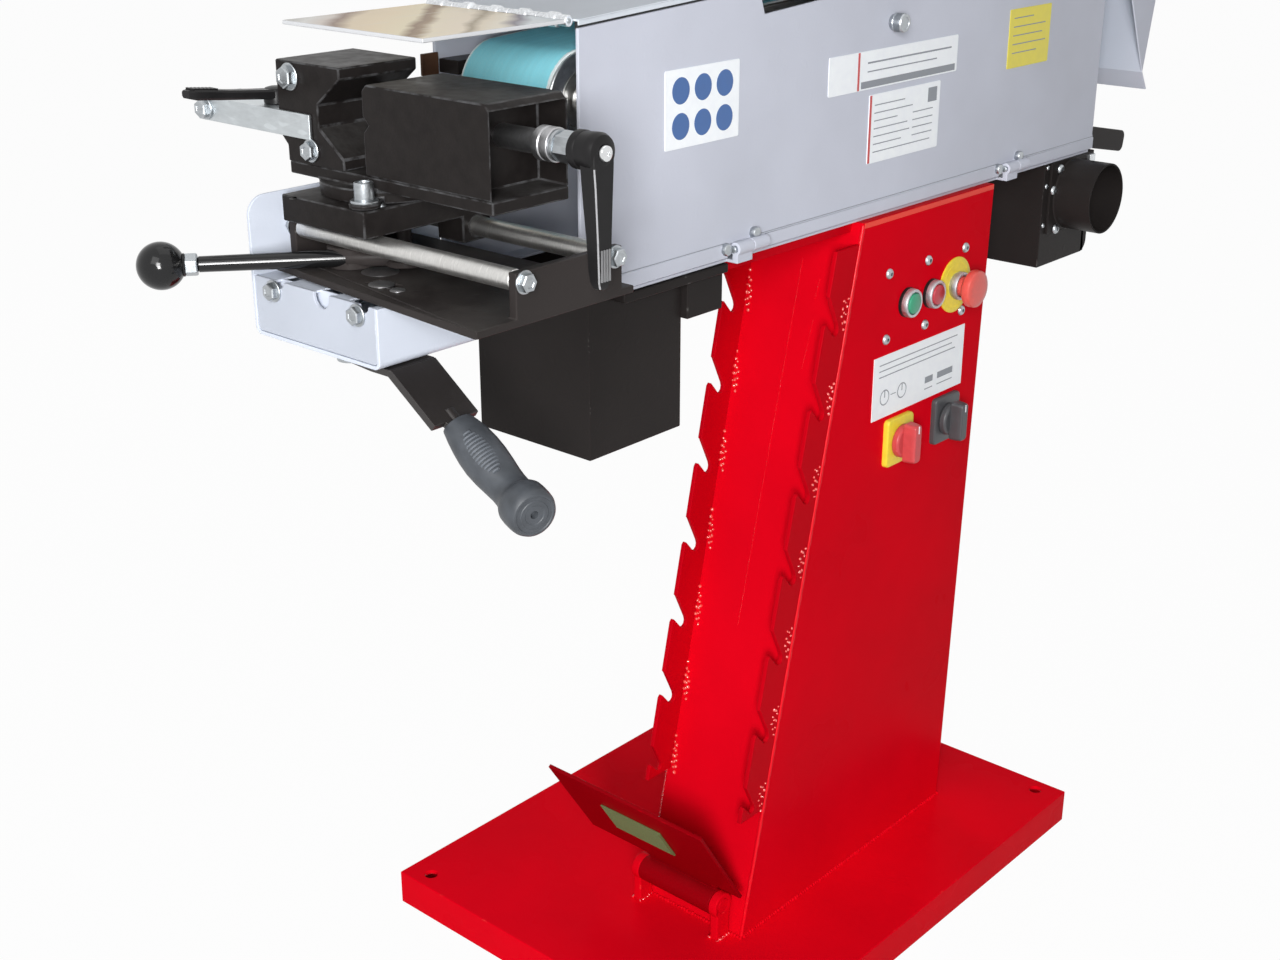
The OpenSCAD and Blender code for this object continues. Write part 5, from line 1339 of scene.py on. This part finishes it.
class GRINDER_OT_controls(bpy.types.Operator):
    """Build the push buttons, the emergency head and the two rotary switches"""

    bl_idname = "grinder.controls"
    bl_label = "Controls"

    def execute(self, context):
        face, z, start, halt, emergency, mains, mode = COLUMN_NEAR, 688.0, 85, 130, 175, 79, 170
        bezels, collars = Sketch(), Sketch()
        ring = [(10.9, 0), (13.2, 0), (13.4, 3), (15, 3.4), (15.0, 8.4), (14.4, 9.6), (13.4, 10.0),
                (12.0, 9.6), (11.2, 8.6), (10.9, 7.5)]
        for x, lift in ((start, 0), (halt, 0), (emergency, 2)):
            bezels.turned(ring, along_y(x, face - lift, z), 48, looped=True)
            if not lift:
                collars.turned([(13.6, 0), (15.6, 0), (15.6, 2.4), (14.8, 3.1), (13.6, 3.1)],
                               along_y(x, face, z), 48, looped=True)
        made("button_bezel_rings", bezels, "stand", "bezel_metal", ["button_bezels"])
        made("button_seat_rings", collars, "stand", "dull_black")
        cap = [(0, 1.2), (10.6, 1.2), (10.6, 9.6), (10.1, 10.8), (8.9, 11.4), (0, 11.0)]
        lathe("start_button_cap", cap, along_y(start, face, z), 44, "start", "start_green",
              ["start_button"])
        lathe("stop_button_cap", cap, along_y(halt, face, z), 44, "halt", "stop_red",
              ["stop_button"])
        head = [(0, 1.2), (10.6, 1.2), (10.6, 13), (12.6, 15.2), (17.8, 17.6), (19.6, 19.4), (20, 21.6),
                (19.8, 25.8), (19.2, 27.4), (17.8, 28.4), (12, 29.0), (0, 29.3)]
        lathe("emergency_head", head, along_y(emergency, face - 2, z), 56, "emergency",
              "signal_red", ["estop_button"])
        disc = [(11, 0), (29.4, 0), (30, 0.4), (30, 1.7), (29.4, 2), (24.6, 2), (24.2, 1.7), (23.6, 1.7),
                (23.2, 2), (11, 2)]
        plates = Sketch().turned(disc, along_y(emergency, face, z), 64, looped=True)
        made("yellow_backing_plates", self.plate(plates, mains, face), "stand",
             "yellow_plastic", ["switch_plates"])
        made("mode_switch_plate", self.plate(Sketch(), mode, face), "stand", "dark_plastic")
        for x, body, label, slot, finish in ((mains, "power", "main", "red_plastic", "switch_red"),
                                             (mode, "mode", "mode", "dark_plastic", "dark_plastic")):
            made(label + "_switch_handle", self.handle(x, face), body, finish, [label + "_switch"],
                 edge=0.0009, steps=3)
            slab("switch_pointer_" + label, (x - 0.8, -153.6, 552), (x + 0.8, -153.0, 560), body,
                 "white_film")
        return {"FINISHED"}

    def stepped(self, s, place, radius, rows):
        """A plate with round corners whose outline shrinks towards its face."""
        return s.loft([[place @ Vector((a, b, h)) for a, b in rounded(w, t, radius)] for w, t, h in rows])

    def plate(self, s, x, face):
        """Square plate behind a switch."""
        return self.stepped(s, along_y(x, face, SWITCH_Z), 4.5, [(48, 52, 0), (48, 52, 4.4), (47, 51, 5.6),
                                                                 (45.6, 49.6, 6)])

    def handle(self, x, face):
        """Round base and upright blade of a switch."""
        place = along_y(x, face - 6.3, SWITCH_Z)
        s = Sketch().turned([(0, -4.6), (5.9, -4.6), (5.9, 0.6), (17.4, 0.6), (18, 1.2), (17.6, 6.4),
                             (15.5, 8.2), (0, 8.2)], place, 44)
        return self.stepped(s, place, 3.6, [(15.5, 43, 7.6), (14, 42.4, 16), (12.4, 41.4, 20.4),
                                            (10.6, 39.6, 22)])


class GRINDER_OT_prints(bpy.types.Operator):
    """Build the plain plates and cards with their generic print"""

    bl_idname = "grinder.prints"
    bl_label = "Plates and cards"

    def execute(self, context):
        self.card()
        self.door_plates()
        return {"FINISHED"}

    def card(self):
        """The card on the column: lines, two dials and two bars."""
        softened("column_card", "instruction_plate", "white_film", 0.0002, 1)
        low, high = box_mm("instruction_plate")
        ink, thick, line, y = Sketch(), 0.15, 1.1, low.y
        strips = [(low.x + 10, high.z - 10 - 6.5 * i, (high.x - low.x) * share, line)
                  for i, share in enumerate((0.86, 0.80, 0.84))]
        self.strips(ink, strips, y, thick)
        for x in (52, 84):
            r, z = 8.5, low.z + 22
            ink.turned([(r - 1.2, -0.1), (r, -0.1), (r, thick), (r - 1.2, thick)], along_y(x, y, z), 36,
                       looped=True)
            self.strips(ink, [(x - 0.7, z, 1.4, r - 1)], y, thick)
        bars = [(x, low.z + up, w, h) for x, w in ((128, 15), (152, 30)) for up, h in ((18, 7.0), (11, line))]
        self.strips(ink, bars + [(63, low.z + 22, 10, 0.8)], y, thick)
        made("column_card_print", ink, "stand", "grey_ink", smooth=False)

    def door_plates(self):
        """The plates on the door, with discs, lines and bars."""
        sheet, thick, disc_r, disc_h = 0.8, 0.12, 11.2, 0.15
        y = DOOR_FACE - sheet
        for name, finish, nodes, boxes in (
                ("door_plates_white", "white_film", ["side_plates"],
                 [(-292, 897, 98, 66), (-62, 913, 220, 36), (6, 841, 124, 66)]),
                ("door_plate_yellow", "yellow_film", [], [(258, 903, 85, 61)])):
            s = Sketch()
            for x, z, w, h in boxes:
                s.prism([(a + x + w / 2, b + z + h / 2) for a, b in rounded(w, h, 1.5, 3)], 0, sheet,
                        along_y(0, DOOR_FACE, 0))
            made(name, s, "door", finish, nodes, edge=0.0002, steps=1)
        blue = Sketch()
        for i in range(3):
            for k in range(2):
                blue.turned([(0, 0), (disc_r, 0), (disc_r, disc_h), (0, disc_h)],
                            along_y(-272 + 29 * i, y, 915.5 + 29.5 * k), 40)
        made("door_plate_discs", blue, "door", "blue_ink", smooth=False)
        lines = [(0, 937, 146, 1.6), (0, 929, 120, 1.2), (-10, 914.5, 164, 6.5)]
        for i, wide in enumerate((52, 66, 40, 58, 62, 48, 100)):
            z = 896 - 7.5 * i
            lines += [(15, z, wide, 1.0), (82, z, 36, 1.0)] if 2 <= i <= 5 else [(15, z, wide, 1.0)]
        lines.append((108, 888, 16, 14))
        lines += [(266, 954 - 9 * i, wide, 1.1) for i, wide in enumerate((40, 66, 60, 68, 50))]
        bars = [(-16, 913.4, 3.2, 35.2), (6.6, 841.6, 3.4, 64.8)]
        for name, finish, strips in (("door_plate_lines", "grey_ink", lines),
                                     ("door_plate_bars", "red_ink", bars)):
            made(name, self.strips(Sketch(), strips, y, thick), "door", finish, smooth=False)

    def strips(self, s, boxes, y, thick):
        """Thin strips of print. Boxes are (x, z, width, height)."""
        for x, z, w, h in boxes:
            s.block((x, y - thick, z), (x + w, y + 0.1, z + h))
        return s


class GRINDER_OT_fittings(bpy.types.Operator):
    """Build the door screw, the spigot, the roller's end, the pedal pad and the fan cover"""

    bl_idname = "grinder.fittings"
    bl_label = "Fittings"

    def execute(self, context):
        spigot, axle = along_y(430, -115, 743), along_y(-356, -90, 945)
        self.thumb_screw()
        lathe("suction_spigot_tube", [(38, -0.8), (38, 47.4), (38.4, 48), (39.6, 48), (40, 47.4), (40, 44.2),
                                      (40.0, 4), (41.5, 2.6), (41.5, -0.8)], spigot, 64, "stand",
              "black_paint", edge=0.0003, looped=True)
        softened("suction_spigot_flange", "extraction_spigot", "black_paint", 0.0005, 2)
        lathe("roller_axle_end", [(0, -128), (9.4, -128), (10, -127.4), (10, 0), (14, 0), (15, 0.8),
                                  (15, 4.6), (14, 6), (8.4, 6), (7.6, 5.2), (5.2, 5.2), (4.6, 3.2), (0, 3.2)],
              axle, 48, "tension", "chrome", ["roller_axle"])
        slab("roller_side_block", (-390, 22, 957), (-352, 45.2, 968.5), "stand", "black_paint",
             0.0008)
        slab("housing_edge_tab", (-410, 43, 956), (-392, 46, 974), "stand", "scale_brown",
             0.0006)
        softened("pedal_pad_sheet", "pedal_pad", "pad_rubber", 0.0006, 2)
        self.pad_ribs(context.scene.grinder_sizes.pad_ribs)
        self.fan()
        return {"FINISHED"}

    def thumb_screw(self):
        """The door's thumb screw with its knurl."""
        x, z = 39, 972
        lathe("door_thumb_screw", [(0, -7), (3.6, -7), (4, -6.5), (4, 0.4), (7.2, 0.4), (7.4, 1), (7.4, 3.6),
                                   (9, 4.2), (9, 5), (8.6, 5.6), (8.6, 12.6), (9, 13.2), (8.2, 14.6),
                                   (5.6, 15), (5.2, 14.2), (0, 14.2)], along_y(x, DOOR_FACE - 0.3, z), 40,
              "door_knob", "zinc", ["door_screw"])
        ridge = Sketch().block((-0.35, -132, 8.4), (0.35, -125.6, 9.0))
        grown("door_thumb_screw_knurl", sketch_mesh("ridge", ridge), "Slat ring", "door_knob", "zinc", "zinc",
              Count=36, Centre=(x * MM, 0.0, z * MM))

    def fan(self):
        """The fan cowl, its grille and the fan behind it."""
        y, centre = 296.0, (MOTOR_X * MM, 0.0, MOTOR_Z * MM)
        axis = upright(MOTOR_X, y, MOTOR_Z) @ spin(-90, "X")
        cowl = Sketch().turned([(65, -y + 248), (68, -y + 248), (68, -6), (66.4, -2), (62, 0), (58, 0),
                                (58, -2.6), (62, -2.6), (65, -6)], axis, 72, looped=True)
        cowl.turned([(0, 0.0), (16, 0.0), (17, -1), (17, -2.6), (0, -2.6)], axis, 48)
        made("motor_fan_cowl", cowl, "stand", "motor_paint", ["motor_fan_cover"])
        slat = Sketch().block((-1.3, y - 2.6, 16), (1.3, y - 0.4, 59))
        grown("motor_fan_grille", sketch_mesh("slat", slat), "Slat ring", "stand", "motor_paint",
              "motor_paint", Count=36, Centre=centre)
        rings = Sketch()
        for r in (28, 38, 48):
            rings.turned([(r - 1, -0.6), (r + 1, -0.6), (r + 1, -2.8), (r - 1, -2.8)], axis, 64, looped=True)
        made("motor_fan_grille_rings", rings, "stand", "motor_paint")
        blade = Sketch().prism([(-1, -11), (1, -11), (1, 11), (-1, 11)], 10, 56,
                               upright(0, 272, 0) @ spin(28, "Z"))
        grown("motor_cooling_fan", sketch_mesh("blade", blade), "Slat ring", "wheel", "black_plastic",
              "dull_black", Count=9, Centre=centre)

    def pad_ribs(self, count):
        """Ribs across the pedal pad, in the pedal's own slope."""
        slope, margin, spare, flank, tall, sunk = 57, 2, 3, 0.5, 0.7, 0.4
        pivot = upright(-177.09, -50, 80) @ spin(slope - 180, "Y")
        pad = [pivot.inverted() @ (v.co / MM) for v in frame["nodes"]["pedal_pad"].data.vertices]
        (x0, y0, _), (x1, y1, top) = (tuple(f(p[i] for p in pad) for i in range(3)) for f in (min, max))
        step = (x1 - x0 - spare) / count
        outline = ((0, -sunk), (flank, tall), (step * 0.5, tall), (step * 0.5 + flank, -sunk))
        rib = Sketch().loft([[pivot @ Vector((x0 + margin + a, y, top + h)) for a, h in outline]
                             for y in (y0 + margin, y1 - margin)])
        move = pivot.to_3x3() @ Vector((step, 0, 0)) * MM
        grown("pedal_pad_ribs", sketch_mesh("rib", rib), "Rib row", "pedal", "pad_rubber", "pad_rubber",
              Count=count, Step=tuple(move))


class GRINDER_OT_hinges(bpy.types.Operator):
    """Build the hinge sleeves of the flap, the door's hinge lugs and the lid's edge with its seal"""

    bl_idname = "grinder.hinges"
    bl_label = "Hinges and seals"

    def execute(self, context):
        flap_x, flap_z, first, pitch = -399.31, 1012.73, -84, 32
        for body, turns in (("lid", (0, 2, 4)), ("flap", (1, 3))):
            s = Sketch()
            for i in turns:
                s.turned([(0, 0.4), (4.2, 0.4), (4.5, 0.8), (4.5, 11), (5.9, 12), (5.9, 20), (4.5, 21),
                          (4.5, 31.2), (4.2, 31.6), (0, 31.6)], along_y(flap_x, first + pitch * i, flap_z), 32)
            made("flap_hinge_sleeves_" + body, s, body, "bright_zinc")
        lugs, lug_y = Sketch(), -125.5
        for x in (-202, 262):
            for dx, z in ((-8, 798.6), (33, 806.5)):
                lugs.turned([(0, -6), (5.0, -6), (5.6, -5), (5.6, -1.0), (5.0, 0.2), (3.4, 1.0), (0, 1.2)],
                            along_y(x + dx, lug_y, z), 28)
        made("door_hinge_lugs", lugs, "door", "zinc")
        # A thin grey strip along the door's fold: painted shade in the fold's crease.
        seam, fold_low, fold_high = Sketch(), 803.0, 803.9
        for x0, x1 in ((-393, -207), (-157, 257), (307, 465)):
            seam.block((x0, DOOR_FACE - 0.3, fold_low), (x1, DOOR_FACE + 0.1, fold_high))
        made("door_fold_seam", seam, "door", "grey_ink")
        lid = upright(-394, 0, 1007) @ spin(-3, "Y")
        for name, (x0, x1), (y0, y1), (z0, z1), slot, finish, edge in (
                ("lid_edge_fold", (0, 861), (-121, -119.4), (2.2, 6.9), "grey_paint", "lid_sheet", 0.0004),
                ("lid_edge_seal", (2, 859), (-117.5, -114.2), (-2, 5.2), "black_plastic", "tyre_rubber",
                 0.0006)):
            ends = [[lid @ Vector((x, y, z)) for y, z in ((y0, z0), (y1, z0), (y1, z1), (y0, z1))]
                    for x in (x0, x1)]
            made(name, Sketch().loft(ends), "lid", finish, edge=edge)
        slab("suction_box_catch", (462, -122, 774.5), (475, -117.8, 783), "stand", "bright_zinc",
             0.0006)
        return {"FINISHED"}


class GRINDER_OT_stage(bpy.types.Operator):
    """Set up the floor, the studio light and the camera"""

    bl_idname = "grinder.stage"
    bl_label = "Stage"

    def execute(self, context):
        scene, stage = context.scene, context.scene.grinder_stage
        target = Vector((-0.1, -0.03, 0.75))
        self.floor()
        self.world(scene, stage)
        for name, place, size, watts in (("key_softbox", (-2.1, -0.66, 2.12), 1.2, stage.key),
                                         ("flash_softbox", (-2.66, -1.92, 1.87), 0.9, stage.flash),
                                         ("low_softbox", (-2.2, -1.65, 1.14), 0.5, stage.low),
                                         ("rear_softbox", (1.7, 2.6, 1.7), 1.2, stage.rear),
                                         ("top_softbox", (0.1, -0.1, 3.1), 2.0, stage.top)):
            lamp = bpy.data.lights.new(name, "AREA")
            lamp.energy, lamp.size = watts, size
            box = bpy.data.objects.new(name, lamp)
            box.location = place
            box.visible_glossy = name != "rear_softbox"
            box.rotation_euler = (target - Vector(place)).to_track_quat("-Z", "Y").to_euler()
            scene.collection.objects.link(box)
        lens = bpy.data.cameras.new("camera")
        lens.sensor_width, lens.lens = 36.0, stage.lens
        camera = bpy.data.objects.new("camera", lens)
        h, p = stage.heading, stage.pitch
        look = Vector((math.cos(h) * math.cos(p), math.sin(h) * math.cos(p), -math.sin(p)))
        camera.location = stage.eye
        camera.rotation_euler = look.to_track_quat("-Z", "Y").to_euler()
        scene.collection.objects.link(camera)
        scene.camera = camera
        scene.view_settings.view_transform = "Standard"
        return {"FINISHED"}

    def seen(self, tree):
        """1 for rays from the camera, from gloss and through glass."""
        path = add(tree, "ShaderNodeLightPath").outputs
        some = reckon(tree, "MAXIMUM", path["Is Camera Ray"], path["Is Glossy Ray"])
        return reckon(tree, "MAXIMUM", some, path["Is Transmission Ray"])

    def floor(self):
        """A wide floor that looks white and throws back half of the light."""
        mesh = bpy.data.meshes.new("floor")
        half, z = 30.0, -0.0004
        mesh.from_pydata([(-half, -half, z), (half, -half, z), (half, half, z), (-half, half, z)], [],
                         [(0, 1, 2, 3)])
        ground = bpy.data.materials.new("pale_floor")
        ground.use_nodes = True
        tree = ground.node_tree
        tree.nodes.remove(tree.nodes["Principled BSDF"])
        wall = add(tree, "ShaderNodeBsdfDiffuse", {"Color": (0.5, 0.5, 0.5, 1)})
        glow = add(tree, "ShaderNodeEmission", {"Color": (1, 1, 1, 1), "Strength": 1.0})
        share = reckon(tree, "MULTIPLY", self.seen(tree), 0.97)
        both = add(tree, "ShaderNodeMixShader", {0: share, 1: wall.outputs[0], 2: glow.outputs[0]})
        tree.links.new(both.outputs[0], tree.nodes["Material Output"].inputs["Surface"])
        mesh.materials.append(ground)
        linked("floor", mesh)

    def world(self, scene, stage):
        """An even light that looks white."""
        world = scene.world or bpy.data.worlds.new("studio")
        scene.world = world
        world.use_nodes = True
        tree = world.node_tree
        tree.nodes.clear()
        even = add(tree, "ShaderNodeBackground", {"Color": (0.93, 0.96, 1.0, 1), "Strength": stage.sky})
        white = add(tree, "ShaderNodeBackground", {"Color": (1, 1, 1, 1), "Strength": 1.0})
        both = add(tree, "ShaderNodeMixShader", {0: self.seen(tree), 1: even.outputs[0], 2: white.outputs[0]})
        out = tree.nodes.new("ShaderNodeOutputWorld")
        tree.links.new(both.outputs[0], out.inputs["Surface"])


STEPS = ["finishes", "frame_pieces", "tray", "belt", "welds", "fasteners", "levers", "controls", "prints",
         "fittings", "hinges", "stage"]


class GRINDER_PT_panel(bpy.types.Panel):
    """Lists the steps that build the grinder"""

    bl_idname = "GRINDER_PT_panel"
    bl_label = "Belt grinder"
    bl_space_type = "VIEW_3D"
    bl_region_type = "UI"
    bl_category = "Grinder"

    def draw(self, context):
        for step in STEPS:
            self.layout.operator("grinder." + step)
        for group in GROUPS:
            box = self.layout.box()
            settings = getattr(context.scene, group)
            for label in settings.__annotations__:
                box.prop(settings, label)


GROUPS = {"grinder_sizes": GrinderSizes, "grinder_colours": GrinderColours, "grinder_stage": GrinderStage}
CLASSES = [GrinderSizes, GrinderColours, GrinderStage, GRINDER_OT_finishes, GRINDER_OT_frame_pieces,
           GRINDER_OT_tray, GRINDER_OT_belt, GRINDER_OT_welds, GRINDER_OT_fasteners, GRINDER_OT_levers,
           GRINDER_OT_controls, GRINDER_OT_prints, GRINDER_OT_fittings, GRINDER_OT_hinges,
           GRINDER_OT_stage, GRINDER_PT_panel]


def register():
    """Registers the classes and the settings."""
    for item in CLASSES:
        bpy.utils.register_class(item)
    for label, group in GROUPS.items():
        setattr(bpy.types.Scene, label, PointerProperty(type=group))


def unregister():
    """Takes the settings and the classes away again."""
    for label in GROUPS:
        delattr(bpy.types.Scene, label)
    for item in reversed(CLASSES):
        bpy.utils.unregister_class(item)


def main():
    """Builds everything in order."""
    register()
    for step in STEPS:
        getattr(bpy.ops.grinder, step)()


if __name__ == "__main__":
    main()
